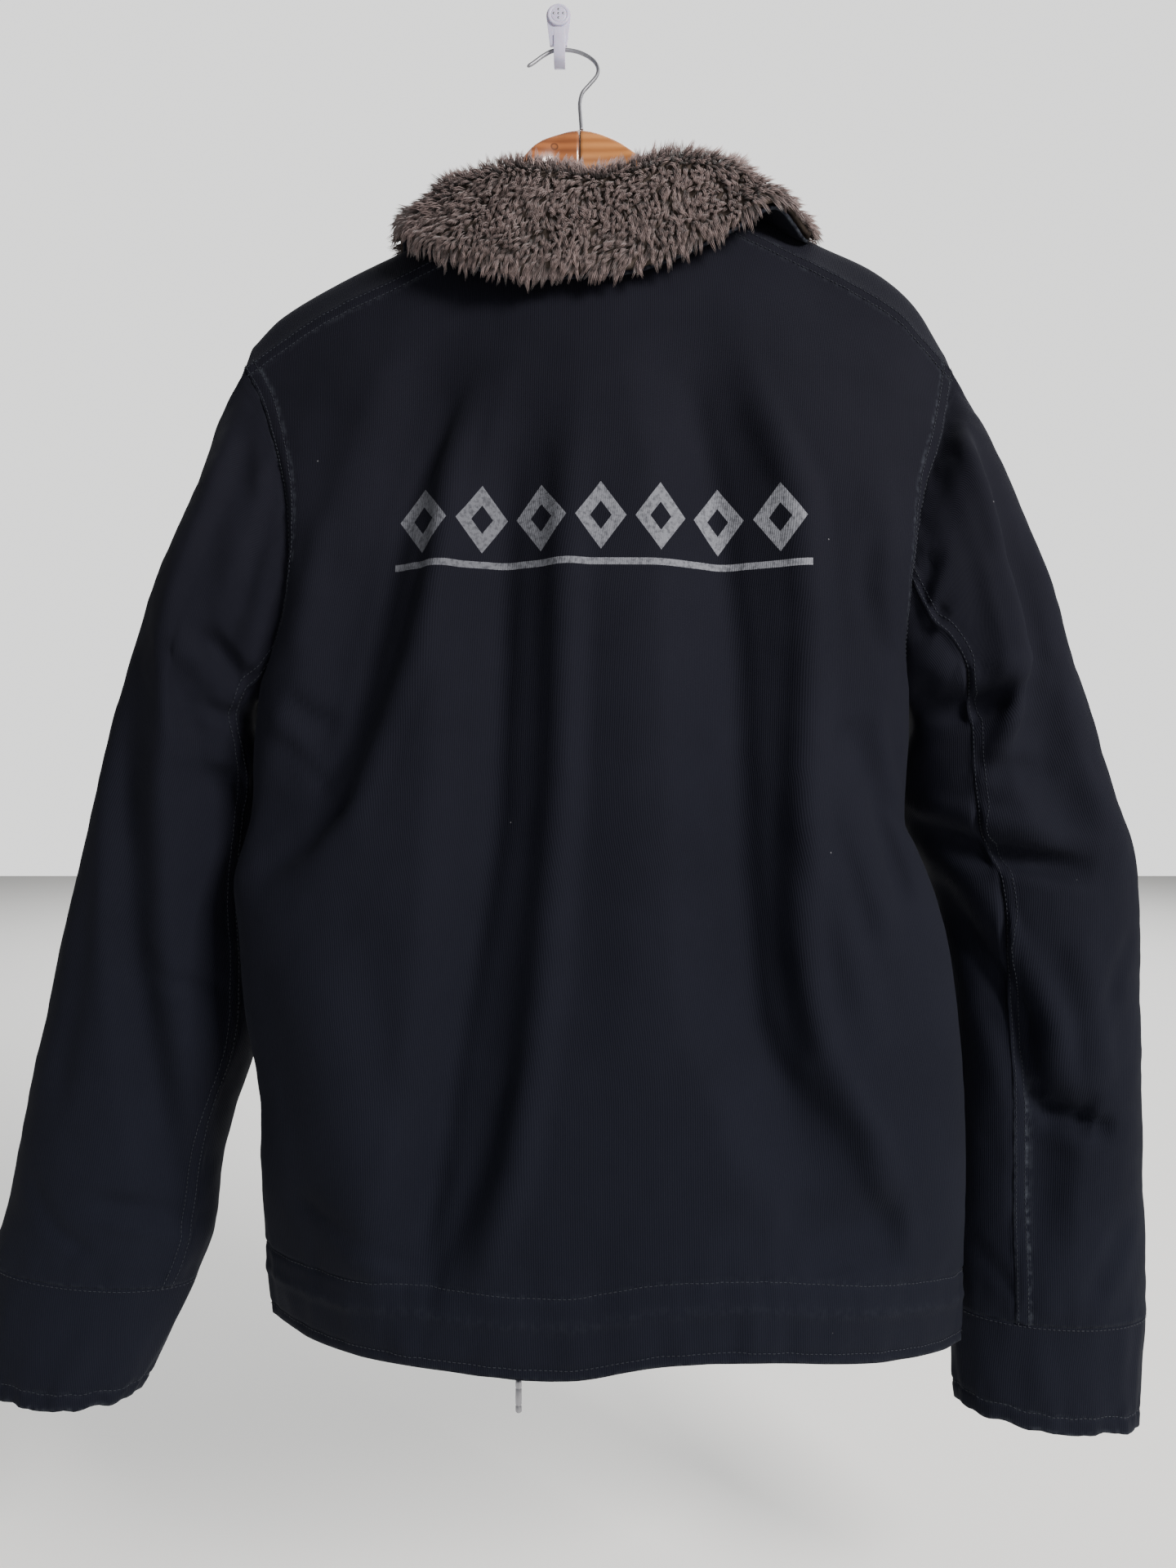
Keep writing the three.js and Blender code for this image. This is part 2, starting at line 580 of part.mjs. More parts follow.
const flapFace = (lift) => frontGrid("left").map((row, j) => {
  const bothFronts = [...row, ...frontGrid("right")[j].reverse().slice(1)];
  return FLAP_LINES.map((x) => pointAcross(bothFronts, x)).map(([x, y, z]) => [x, y + lift, z]).reverse();
});
addMesh("wind_flap", "cloth", layerGeometry(flapFace(FLAP_GAP + FLAP_THICKNESS), flapFace(FLAP_GAP)));

// Turned piece from a table of radius and height
function lathe(profile, sides) {
  return new THREE.LatheGeometry(profile.map(([r, h]) => new THREE.Vector2(r, h)), sides);
}

// Buttons: a dished disc on a short thread shank
const BUTTON_X = 47;
const BUTTON_HEIGHTS = [-292, -402, -512, -622, -732, -842];
const BUTTON_GAP = 0.7;
const BUTTON_RADIUS = 11;
const BUTTON_PROFILE = [
  [0, 0], [3, 0], [3, 1.2], [10, 1.4], [11, 2.6], [10, 3.8], [7, 3.8], [6, 3.2], [0, 3.2],
];
const BUTTON_SIDES = 10;

BUTTON_HEIGHTS.forEach((z, k) => {
  const button = lathe(BUTTON_PROFILE, BUTTON_SIDES);
  const face = depthAt(FRONT_DEPTH, z) + FLAP_GAP + FLAP_THICKNESS + channelSwell(z - FRONT_HEM);
  const rise = depthAt(FRONT_DEPTH, z + BUTTON_RADIUS) - depthAt(FRONT_DEPTH, z - BUTTON_RADIUS);
  button.rotateX(Math.atan(rise / (2 * BUTTON_RADIUS)));
  button.translate(BUTTON_X, face + BUTTON_GAP, z);
  addMesh(`button_${k + 1}`, "horn", button);
});

// Collar: a stand that rises from the neck seam, rolls over and falls on the shoulders. Each row gives
// its place along the neck seam, from the left front round the back, the top of the roll and the free
// edge of the fall.
const COLLAR_STATIONS = [
  { place: 0, roll: [29, -37, -238], edge: [-20, -33, -316] },
  { place: 0.07, roll: [3, -38, -232], edge: [-62, -32, -288] },
  { place: 0.15, roll: [-32, -39, -201], edge: [-101, -36, -236] },
  { place: 0.21, roll: [-54, -41, -168], edge: [-105, -37, -203] },
  { place: 0.26, roll: [-65, -60, -152], edge: [-104, -62, -176] },
  { place: 0.345, roll: [-62, -86, -161], edge: [-84, -104, -204] },
  { place: 0.42, roll: [-22, -100, -157], edge: [-32, -120, -228] },
  { place: 0.5, roll: [27, -104, -165], edge: [20, -124, -230] },
  { place: 0.585, roll: [78, -100, -151], edge: [64, -121, -222] },
  { place: 0.66, roll: [114, -88, -151], edge: [112, -112, -196] },
  { place: 0.7, roll: [116, -75, -146], edge: [143, -101, -175] },
  { place: 0.735, roll: [117, -61, -142], edge: [164, -86, -188] },
  { place: 0.785, roll: [112, -42, -153], edge: [172, -50, -176] },
  { place: 0.85, roll: [88, -39, -196], edge: [166, -37, -218] },
  { place: 0.93, roll: [58, -38, -232], edge: [124, -32, -284] },
  { place: 1, roll: [39, -37, -238], edge: [88, -33, -314] },
];
const COLLAR_STEPS = 26;
const COLLAR_CENTRE = [29, -70];
const NECK_HALF_WIDTH = 85;
const NECK_HALF_DEPTH = 32;
const ROLL_RADIUS = 6;
const COLLAR_CLOTH = 2;
const COLLAR_LIFT = 3;
const COLLAR_SET_IN = 0.5;
const COLLAR_END_SHARE = 0.01;
const NECK_TOP = -120;
const PILE_GAP = 0.5;
const PILE_OVERHANG = 4;

// Rows of the collar from seam to edge: how far up the stand, round the roll or down the fall each
// lies, and how thick the pile is there.
const COLLAR_ROWS = [
  { stand: 0, pile: 1.5 }, { stand: 0.5, pile: 2.5 }, { turn: 0, pile: 4 }, { turn: 0.5, pile: 9 },
  { turn: 1, pile: 11 }, { fall: 0.33, pile: 12 }, { fall: 0.67, pile: 12 }, { fall: 0.92, pile: 11 },
  { fall: 1, pile: 5 },
];

const neckEdge = (side) => sample(
  smooth([edges[side].front, edges[side].ridge, edges[side].seam].map((line) => line[SHOULDER_STEPS])),
  OVER_SHOULDER_STEPS,
);
const neckSeam = smooth([
  ...[...edges.left.frontNeck].reverse(),
  ...neckEdge("left").slice(1),
  ...sample(smooth(BACK_NECK), BACK_NECK_STEPS).slice(1),
  ...neckEdge("right").reverse().slice(1),
  ...edges.right.frontNeck.slice(1),
]);

function collarGrid(overhang) {
  const stations = smooth(COLLAR_STATIONS.map(({ roll, edge }) => [...roll, ...edge]),
    COLLAR_STATIONS.map(({ place }) => place));
  const columns = Array.from({ length: COLLAR_STEPS + 1 }, (_, i) => {
    const place = i / COLLAR_STEPS;
    const row = stations(place);
    const [roll, edge] = [0, 3].map((from) => new THREE.Vector3(...row.slice(from, from + 3)));
    const seam = new THREE.Vector3(...neckSeam(COLLAR_END_SHARE + (1 - 2 * COLLAR_END_SHARE) * place));
    const outwards = new THREE.Vector3(
      (seam.x - COLLAR_CENTRE[0]) / NECK_HALF_WIDTH ** 2,
      (seam.y - COLLAR_CENTRE[1]) / NECK_HALF_DEPTH ** 2,
      0,
    ).normalize();
    const intoNeck = new THREE.Vector3(CENTRE_X - seam.x, 0, NECK_TOP - seam.z).normalize();
    seam.addScaledVector(outwards, -COLLAR_SET_IN).addScaledVector(intoNeck, COLLAR_LIFT);
    const rollCentre = roll.clone();
    rollCentre.z -= ROLL_RADIUS;
    const standTop = rollCentre.clone().addScaledVector(outwards, -ROLL_RADIUS);
    const fallTop = rollCentre.clone().addScaledVector(outwards, ROLL_RADIUS);
    edge.addScaledVector(edge.clone().sub(fallTop).normalize(), overhang);
    return COLLAR_ROWS.map(({ stand, turn, fall }) => {
      if (stand !== undefined) return seam.clone().lerp(standTop, stand);
      if (fall !== undefined) return fallTop.clone().lerp(edge, fall);
      const angle = Math.PI * turn;
      const onRoll = rollCentre.clone().addScaledVector(outwards, -ROLL_RADIUS * Math.cos(angle));
      onRoll.z += ROLL_RADIUS * Math.sin(angle);
      return onRoll;
    });
  });
  return COLLAR_ROWS.map((_, j) => columns.map((column) => column[j]));
}

// The collar's surface moved towards its pile side, or away from it where the distance is negative.
function collarLayer(distances, overhang = 0) {
  const grid = collarGrid(overhang);
  return grid.map((row, j) => row.map((point, i) => {
    const up = grid[Math.min(j + 1, grid.length - 1)][i].clone().sub(grid[Math.max(j - 1, 0)][i]);
    const round = row[Math.min(i + 1, row.length - 1)].clone().sub(row[Math.max(i - 1, 0)]);
    const moved = point.clone().addScaledVector(up.cross(round).normalize(), distances[j]);
    return moved.toArray();
  }));
}

const collarRowsOf = (value) => COLLAR_ROWS.map(() => value);
addMesh("collar_under", "cloth",
  layerGeometry(collarLayer(collarRowsOf(-COLLAR_CLOTH)), collarLayer(collarRowsOf(0))));
addMesh("collar_pile", "fur", layerGeometry(
  collarLayer(collarRowsOf(PILE_GAP)),
  collarLayer(COLLAR_ROWS.map(({ pile }) => pile), PILE_OVERHANG),
));

// Drawcord: the free end leaves an eyelet in the front hem channel and hangs below the hem.
const CORD_DIAMETER = 3.6;
const CORD_ROUTE = [
  [-28, -16.6, -872], [-28, -13.8, -872], [-28, -11.6, -872.4], [-28, -9.2, -873.6], [-28, -7.2, -875.8],
  [-28, -6.2, -878.8],
  [-28, -5.9, -882.5], [-28, -5.9, -888], [-28.1, -6, -895], [-28.2, -6.3, -905], [-28.3, -6.7, -916],
  [-28.4, -7.2, -928], [-28.4, -7.8, -940], [-28.5, -8.4, -952], [-28.5, -9, -963], [-28.5, -9.6, -974.5],
];
const CORD_END = CORD_ROUTE[CORD_ROUTE.length - 1];
const CORD_SIDES = 8;
const CORD_STEPS = 15;
const TIP_LENGTH = 23;
const TIP_PROFILE = [[0, 0], [1.9, 0], [2.3, 0.8], [2.3, 22], [1.8, 23], [0, 23]];
const TIP_SIDES = 10;
const EYELET_PROFILE = [[2.2, 0], [6, 0], [6, 0.6], [4.6, 1.3], [2.6, 1.3], [2.2, 0.6], [2.2, 0]];
const CORD_GAP = 0.1;
const EYELET_REACH = 6;
const EYELET_SIDES = 12;

function tube(route, radius, sides, steps) {
  const outline = new THREE.Shape();
  for (let k = 0; k < sides; k += 1) {
    const angle = 2 * Math.PI * k / sides;
    const [x, y] = [radius * Math.cos(angle), radius * Math.sin(angle)];
    if (k === 0) outline.moveTo(x, y);
    else outline.lineTo(x, y);
  }
  const path = new THREE.CatmullRomCurve3(route.map((point) => new THREE.Vector3(...point)));
  return new THREE.ExtrudeGeometry(outline, { steps, extrudePath: path });
}

// The point of a front's face at x and z, and the way the face looks there
function faceAt(grid, x, z) {
  const line = grid.map((row) => pointAcross(row, x));
  const above = line.findIndex((point) => point[2] > z);
  const share = (z - line[above - 1][2]) / (line[above][2] - line[above - 1][2]);
  const row = grid[above].map((point, i) => mix(grid[above - 1][i], point, share));
  const from = new THREE.Vector3(...pointAcross(row, x - EYELET_REACH));
  const to = new THREE.Vector3(...pointAcross(row, x + EYELET_REACH));
  const up = new THREE.Vector3(...line[above]).sub(new THREE.Vector3(...line[above - 1]));
  return { at: new THREE.Vector3(...pointAcross(row, x)), out: up.cross(to.sub(from)).normalize() };
}

addMesh("drawcord", "cloth", tube(CORD_ROUTE, CORD_DIAMETER / 2, CORD_SIDES, CORD_STEPS));
const tip = lathe(TIP_PROFILE, TIP_SIDES);
tip.rotateX(Math.PI / 2);
tip.translate(CORD_END[0], CORD_END[1], CORD_END[2] - CORD_GAP - TIP_LENGTH);
addMesh("cord_tip", "steel", tip);
const { at: eyeletFoot, out: eyeletOut } = faceAt(frontGrid("left"), CORD_ROUTE[0][0], CORD_ROUTE[0][2]);
const eyelet = lathe(EYELET_PROFILE, EYELET_SIDES);
eyelet.applyQuaternion(new THREE.Quaternion().setFromUnitVectors(new THREE.Vector3(0, 1, 0), eyeletOut));
eyelet.translate(...eyeletFoot.addScaledVector(eyeletOut, CORD_GAP).toArray());
addMesh("cord_eyelet", "steel", eyelet);

// Hanger: two wooden halves glued at the middle. Each row is a section: where it is, its top and
// bottom edge, the middle of its depth, and its depth.
const HANGER_SECTIONS = {
  left: [
    { x: 15.4, top: -94.5, bottom: -130, y: -40, depth: 15 },
    { x: 8, top: -95.5, bottom: -130, y: -40, depth: 15 },
    { x: -1, top: -98, bottom: -132, y: -40, depth: 15 },
    { x: -9, top: -102.5, bottom: -135, y: -43, depth: 15 },
    { x: -17, top: -110, bottom: -141, y: -47, depth: 15 },
    { x: -27, top: -126, bottom: -154, y: -52, depth: 14 },
    { x: -34, top: -147, bottom: -169, y: -57, depth: 13 },
    { x: -43, top: -163, bottom: -185, y: -60.5, depth: 13 },
    { x: -58, top: -172.5, bottom: -197, y: -61, depth: 13 },
    { x: -98, top: -192, bottom: -216, y: -61, depth: 13 },
    { x: -143, top: -214, bottom: -238, y: -61.5, depth: 13 },
    { x: -180, top: -238, bottom: -261, y: -62, depth: 13 },
    { x: -188, top: -247, bottom: -260, y: -62, depth: 8 },
  ],
  right: [
    { x: 15.8, top: -94.5, bottom: -130, y: -40, depth: 15 },
    { x: 25, top: -95.8, bottom: -130, y: -40, depth: 15 },
    { x: 35, top: -99, bottom: -131, y: -40, depth: 15 },
    { x: 45, top: -104.5, bottom: -134, y: -41, depth: 15 },
    { x: 60, top: -119.5, bottom: -146, y: -48, depth: 15 },
    { x: 70, top: -131, bottom: -156, y: -53, depth: 14 },
    { x: 82, top: -144, bottom: -168, y: -58, depth: 13 },
    { x: 96, top: -155, bottom: -178, y: -60.5, depth: 13 },
    { x: 114, top: -160.5, bottom: -186, y: -61, depth: 13 },
    { x: 178, top: -191, bottom: -215, y: -61, depth: 13 },
    { x: 213, top: -208, bottom: -232, y: -62, depth: 13 },
    { x: 236, top: -228.5, bottom: -251, y: -62, depth: 13 },
    { x: 243, top: -240, bottom: -250, y: -62, depth: 8 },
  ],
};
const HANGER_SIDES = 12;

function hangerHalf(side) {
  const positions = [];
  const sections = HANGER_SECTIONS[side];
  for (const { x, top, bottom, y, depth } of sections) {
    for (let k = 0; k < HANGER_SIDES; k += 1) {
      const angle = 2 * Math.PI * (k + 0.5) / HANGER_SIDES;
      const z = (top + bottom) / 2 + (top - bottom) / 2 * Math.sin(angle);
      positions.push(x, y + depth / 2 * Math.cos(angle), z);
    }
  }
  const index = [];
  for (let j = 0; j + 1 < sections.length; j += 1) {
    for (let k = 0; k < HANGER_SIDES; k += 1) {
      const [a, b] = [j * HANGER_SIDES + k, j * HANGER_SIDES + (k + 1) % HANGER_SIDES];
      const [c, d] = [b + HANGER_SIDES, a + HANGER_SIDES];
      index.push(...(side === "right" ? [a, b, c, a, c, d] : [a, c, b, a, d, c]));
    }
  }
  const lastRing = (sections.length - 1) * HANGER_SIDES;
  for (let k = 1; k + 1 < HANGER_SIDES; k += 1) {
    const [start, end] = [[0, k + 1, k], [lastRing, lastRing + k, lastRing + k + 1]];
    for (const cap of [start, end]) index.push(...(side === "right" ? cap : [...cap].reverse()));
  }
  return indexedGeometry(positions, index);
}

for (const side of ["left", "right"]) addMesh(`hanger_wood_${side}`, "wood", hangerHalf(side));

// Wire hook, bent from the middle of the hanger over the saddle of the wall hook
const WIRE_RADIUS = 1.35;
const WIRE_SIDES = 8;
const WIRE_STEPS = 32;
const WIRE_ROUTE = [
  [16.8, -40, -94.1], [16, -36, -82], [15.6, -31, -70], [17.5, -27.5, -61], [22.5, -24, -53],
  [27.5, -20, -44.5], [28.4, -17.5, -38], [26, -15, -31.5], [20.5, -13.2, -26.2], [13, -12.3, -22.6],
  [4, -12, -21.2],
  [-4, -12, -22], [-11, -12.3, -25.8], [-17.5, -13, -31], [-22, -13.5, -34.2],
];
addMesh("hanger_wire", "steel", tube(WIRE_ROUTE, WIRE_RADIUS, WIRE_SIDES, WIRE_STEPS));

// Wall hook: one moulding of a plate with a round head, and a prong turned up at its end
const PLATE_THICKNESS = 2.4;
const HEAD_HEIGHT = 9.5;
const PLATE_TOP_RADIUS = 8.9;
const HEAD_RADIUS = 8;
const HEAD_THICKNESS = 2;
const HEAD_TAPER = 0.6;
const HEAD_SINK = 0.5;
const PLATE_FOOT = { halfWidth: 6.2, z: -12 };
const PLATE_CURVE_STEPS = 14;
const HEAD_SIDES = 24;
const PRONG_WIDTH = 8;
const PRONG_X = 1;
const PRONG_OUTLINE = [
  [-0.6, -4], [-0.6, -24], [-3, -30], [-9, -33], [-15, -31.5], [-18.5, -27], [-18.5, -9], [-16.7, -7.5],
  [-15, -9], [-14.6, -21], [-13.6, -23.4], [-9.8, -23.4], [-5.5, -19], [-4, -12], [-4, -4],
];

function solidOf(geometry) {
  const bare = geometry.clone();
  bare.deleteAttribute("normal");
  bare.deleteAttribute("uv");
  const merged = mergeVertices(bare, 1e-4);
  return new wasm.Manifold(new wasm.Mesh({
    numProp: 3,
    vertProperties: new Float32Array(merged.getAttribute("position").array),
    triVerts: new Uint32Array(merged.index.array),
  }));
}

function wallHook() {
  const outline = new THREE.Shape();
  outline.moveTo(-PLATE_FOOT.halfWidth, PLATE_FOOT.z);
  outline.lineTo(PLATE_FOOT.halfWidth, PLATE_FOOT.z);
  outline.lineTo(PLATE_TOP_RADIUS, HEAD_HEIGHT);
  outline.absarc(0, HEAD_HEIGHT, PLATE_TOP_RADIUS, 0, Math.PI);
  const plate = new THREE.ExtrudeGeometry(outline, {
    depth: PLATE_THICKNESS, bevelEnabled: false, curveSegments: PLATE_CURVE_STEPS,
  });
  plate.rotateX(Math.PI / 2);
  const headLength = HEAD_THICKNESS + HEAD_SINK;
  const head = new THREE.CylinderGeometry(HEAD_RADIUS, HEAD_RADIUS - HEAD_TAPER, headLength, HEAD_SIDES);
  head.translate(0, HEAD_SINK - PLATE_THICKNESS - headLength / 2, HEAD_HEIGHT);
  const prongOutline = new THREE.Shape(PRONG_OUTLINE.map(([y, z]) => new THREE.Vector2(y, z)));
  const prong = new THREE.ExtrudeGeometry(prongOutline, { depth: PRONG_WIDTH, bevelEnabled: false });
  prong.applyMatrix4(new THREE.Matrix4().makeBasis(
    new THREE.Vector3(0, 1, 0), new THREE.Vector3(0, 0, 1), new THREE.Vector3(1, 0, 0),
  ));
  prong.translate(PRONG_X - PRONG_WIDTH / 2, 0, 0);
  const { vertProperties, triVerts } = solidOf(plate).add(solidOf(head)).add(solidOf(prong)).getMesh();
  return indexedGeometry([...vertProperties], [...triVerts]);
}

addMesh("wall_hook", "plastic", wallHook());

export default jacket;
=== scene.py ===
import math

import bmesh
import bpy
import numpy as np
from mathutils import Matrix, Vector, noise


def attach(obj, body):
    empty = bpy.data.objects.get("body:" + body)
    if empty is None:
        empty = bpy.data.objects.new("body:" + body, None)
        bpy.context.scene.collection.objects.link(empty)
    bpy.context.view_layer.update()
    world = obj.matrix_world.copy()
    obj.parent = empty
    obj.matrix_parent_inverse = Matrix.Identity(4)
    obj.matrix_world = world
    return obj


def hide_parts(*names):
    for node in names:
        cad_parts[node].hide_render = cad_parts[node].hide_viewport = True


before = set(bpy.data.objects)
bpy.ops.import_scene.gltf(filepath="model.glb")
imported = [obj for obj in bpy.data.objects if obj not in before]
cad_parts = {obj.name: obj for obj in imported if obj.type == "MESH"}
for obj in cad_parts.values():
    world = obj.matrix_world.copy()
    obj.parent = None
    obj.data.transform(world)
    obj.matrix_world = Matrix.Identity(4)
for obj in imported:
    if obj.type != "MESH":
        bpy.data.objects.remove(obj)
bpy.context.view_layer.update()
scene = bpy.context.scene

# View, floor and light
# The camera stands level, a little right of the hook and halfway down the jacket. The floor is a
# plain pale sheet under the hem, and the light is soft, strongest from the upper right.
PHOTO_HALF_HEIGHT = 960
FOCAL_LENGTH = 1442
CAMERA_PLACE = (0.0213, -0.855, -0.5467)
FLOOR_HEIGHT = -1.16
FLOOR_SIZE = 14
LIGHTS = [
    # name, place, aimed at, size, power, colour
    ("window_light", (1.75, -1.95, 0.7), (0.03, -0.1, -0.5), 0.9, 150, (1.0, 0.97, 0.94)),
    ("room_light", (-0.9, -2.3, -0.2), (0.03, -0.1, -0.6), 2.0, 6, (0.85, 0.91, 1.0)),
    ("floor_light", (0.3, 3.4, 1.6), (0.0, 3.6, -1.16), 5.0, 260, (0.97, 0.98, 1.0)),
]
SKY_COLOUR = (0.93, 0.93, 0.92, 1)
SKY_SEEN = 1.7
SKY_LIGHT = 0.27

camera_data = bpy.data.cameras.new("photo_view")
camera_data.sensor_fit = "VERTICAL"
camera_data.angle = 2 * math.atan(PHOTO_HALF_HEIGHT / FOCAL_LENGTH)
camera = bpy.data.objects.new("photo_view", camera_data)
camera.location = CAMERA_PLACE
camera.rotation_euler = (math.pi / 2, 0, 0)
scene.collection.objects.link(camera)
scene.camera = camera

for name, place, target, size, power, colour in LIGHTS:
    lamp = bpy.data.lights.new(name, "AREA")
    lamp.size = size
    lamp.energy = power
    lamp.color = colour
    holder = bpy.data.objects.new(name, lamp)
    holder.location = place
    holder.rotation_euler = (Vector(target) - Vector(place)).to_track_quat("-Z", "Y").to_euler()
    scene.collection.objects.link(holder)

def add_node(tree, kind, inputs=None, **settings):
    """A node with its settings, and its inputs set to numbers or linked to sockets."""
    made = tree.nodes.new(kind)
    for name, value in settings.items():
        setattr(made, name, value)
    for key, value in (inputs or {}).items():
        if isinstance(value, bpy.types.NodeSocket):
            tree.links.new(value, made.inputs[key])
        else:
            made.inputs[key].default_value = value
    return made


def new_material(name, **sockets):
    """A material with its shader's own sockets set, its node tree and its shader."""
    material = bpy.data.materials.new(name)
    material.use_nodes = True
    shader = material.node_tree.nodes["Principled BSDF"]
    for key, value in sockets.items():
        shader.inputs[key.replace("_", " ")].default_value = value
    return material, material.node_tree, shader


def math_node(tree, operation, *values):
    return add_node(tree, "ShaderNodeMath", dict(enumerate(values)), operation=operation)


def tone_node(tree, share, dark, light):
    """A ramp from a dark tone to a light one."""
    node = add_node(tree, "ShaderNodeValToRGB", {"Fac": share})
    node.color_ramp.elements[0].color = dark
    node.color_ramp.elements[1].color = light
    return node


def make_piece(name, vertices, faces, materials, uvs=None, marks=None, merge=0.0):
    """A mesh object from points and faces, with a UV and marks for each point."""
    mesh = bpy.data.meshes.new(name)
    mesh.from_pydata(np.asarray(vertices).tolist(), [], [list(face) for face in faces])
    for material in materials:
        mesh.materials.append(material)
    if uvs is not None:
        corners = np.empty(len(mesh.loops), int)
        mesh.loops.foreach_get("vertex_index", corners)
        mesh.uv_layers.new(name="surface").data.foreach_set("uv", np.asarray(uvs)[corners].ravel())
    for key, values in (marks or {}).items():
        mesh.attributes.new(key, "FLOAT", "POINT").data.foreach_set("value", np.ravel(values))
    if merge:
        work = bmesh.new()
        work.from_mesh(mesh)
        bmesh.ops.remove_doubles(work, verts=work.verts, dist=merge)
        work.to_mesh(mesh)
        work.free()
    mesh.polygons.foreach_set("use_smooth", [True] * len(mesh.polygons))
    piece = bpy.data.objects.new(name, mesh)
    scene.collection.objects.link(piece)
    return piece


sky = bpy.data.worlds.new("pale_room")
sky.use_nodes = True
sky_light = sky.node_tree.nodes["Background"]
sky_light.inputs["Color"].default_value = SKY_COLOUR
sky_light.inputs["Strength"].default_value = SKY_LIGHT
sky_seen = add_node(sky.node_tree, "ShaderNodeBackground", {"Color": SKY_COLOUR, "Strength": SKY_SEEN})
ray = add_node(sky.node_tree, "ShaderNodeLightPath")
sky_mix = add_node(sky.node_tree, "ShaderNodeMixShader", {
    0: ray.outputs["Is Camera Ray"], 1: sky_light.outputs[0], 2: sky_seen.outputs[0]})
sky.node_tree.links.new(sky_mix.outputs[0], sky.node_tree.nodes["World Output"].inputs["Surface"])
scene.world = sky

floor_material, floor_tree, floor_shader = new_material("pale_floor", Roughness=0.9)
floor_place = add_node(floor_tree, "ShaderNodeTexCoord")
floor_cloud = add_node(floor_tree, "ShaderNodeTexNoise",
    {"Vector": floor_place.outputs["Object"], "Scale": 0.8})
floor_tone = tone_node(floor_tree, floor_cloud.outputs["Fac"], (0.82, 0.81, 0.78, 1), (0.86, 0.85, 0.82, 1))
floor_tree.links.new(floor_tone.outputs["Color"], floor_shader.inputs["Base Color"])
half = FLOOR_SIZE / 2
floor_corners = [(-half, -half), (half, -half), (half, half), (-half, half)]
floor = make_piece(
    "floor", [(x, y, FLOOR_HEIGHT) for x, y in floor_corners], [(0, 1, 2, 3)], [floor_material])

# Drawcord
# The free end of the waist cord, a braided navy cord 3.6 mm thick. It leaves a metal eyelet in the
# front hem and hangs below it, and ends in a crimped metal tip.
CORD_ROUTE = [
    (-0.028, -0.0166, -0.872), (-0.028, -0.0138, -0.872), (-0.028, -0.0116, -0.8724),
    (-0.028, -0.0092, -0.8736), (-0.028, -0.0072, -0.8758), (-0.028, -0.0062, -0.8788),
    (-0.028, -0.0059, -0.8825), (-0.028, -0.0059, -0.888), (-0.0281, -0.006, -0.895),
    (-0.0282, -0.0063, -0.905), (-0.0283, -0.0067, -0.916), (-0.0284, -0.0072, -0.928),
    (-0.0284, -0.0078, -0.94), (-0.0285, -0.0084, -0.952), (-0.0285, -0.009, -0.963),
    (-0.0285, -0.0096, -0.9745),
]
CORD_DIAMETER = 0.0036
CORD_STEPS = 110
CORD_SIDES = 16
BRAID_TURNS = 4
BRAID_PITCH = 0.006
TIP_PROFILE = [
    (0, 0), (0.0016, 0), (0.0021, 0.0005), (0.0023, 0.0016), (0.00225, 0.0045), (0.0019, 0.005),
    (0.0019, 0.0056), (0.00225, 0.0061), (0.0023, 0.011), (0.00225, 0.0168), (0.0019, 0.0173),
    (0.0019, 0.0179), (0.00225, 0.0184), (0.0023, 0.0215), (0.0021, 0.0227), (0.0018, 0.023), (0, 0.023),
]
TIP_SIDES = 24
CORD_GAP = 0.0001


def smooth(rows, knots=None):
    """A curve through rows of numbers, read at its knots: shares of its length unless others are given."""
    rows = np.array(rows, float)
    if knots is None:
        steps = np.linalg.norm(np.diff(rows, axis=0).reshape(len(rows) - 1, -1), axis=1)
        knots = np.concatenate([[0], np.cumsum(steps)]) / steps.sum()
    knots = np.array(knots, float)
    last = len(rows) - 1
    before = np.maximum(np.arange(last + 1) - 1, 0)
    after = np.minimum(np.arange(last + 1) + 1, last)
    shape = (-1,) + (1,) * (rows.ndim - 1)
    slopes = (rows[after] - rows[before]) / (knots[after] - knots[before]).reshape(shape)

    def curve(place):
        place = np.atleast_1d(np.asarray(place, float))
        k = np.clip(np.searchsorted(knots, place, side="left") - 1, 0, last - 1)
        span = (knots[k + 1] - knots[k]).reshape(shape)
        s = (place - knots[k]).reshape(shape) / span
        return (rows[k] + (rows[k + 1] - rows[k]) * s * s * (3 - 2 * s)
                + slopes[k] * s * (1 - s) ** 2 * span + slopes[k + 1] * s * s * (s - 1) * span)

    return curve


def grid_faces(rows, columns, start=0, turned=False):
    corner = start + np.arange(rows - 1)[:, None] * columns + np.arange(columns - 1)
    quads = np.stack([corner, corner + 1, corner + columns + 1, corner + columns], -1).reshape(-1, 4)
    return quads[:, ::-1] if turned else quads


def tube_grid(route, radii, sides):
    """Rings of points round a route, and their UV: turns round it, and metres along it."""
    route = np.asarray(route, float)
    tangents = np.gradient(route, axis=0)
    tangents /= np.linalg.norm(tangents, axis=1)[:, None]
    side = np.cross(tangents[0], (0.31, 0.2, 0.93))
    angles = np.linspace(0, 2 * np.pi, sides + 1)
    along = np.concatenate([[0], np.cumsum(np.linalg.norm(np.diff(route, axis=0), axis=1))])
    rings = []
    for point, tangent, radius in zip(route, tangents, radii):
        side = side - tangent * side.dot(tangent)
        side /= np.linalg.norm(side)
        other = np.cross(tangent, side)
        ring = np.cos(angles)[:, None] * side + np.sin(angles)[:, None] * other
        rings.append(point + radius * ring)
    uvs = np.stack(np.broadcast_arrays(angles / (2 * np.pi), along[:, None]), -1)
    return np.array(rings), uvs


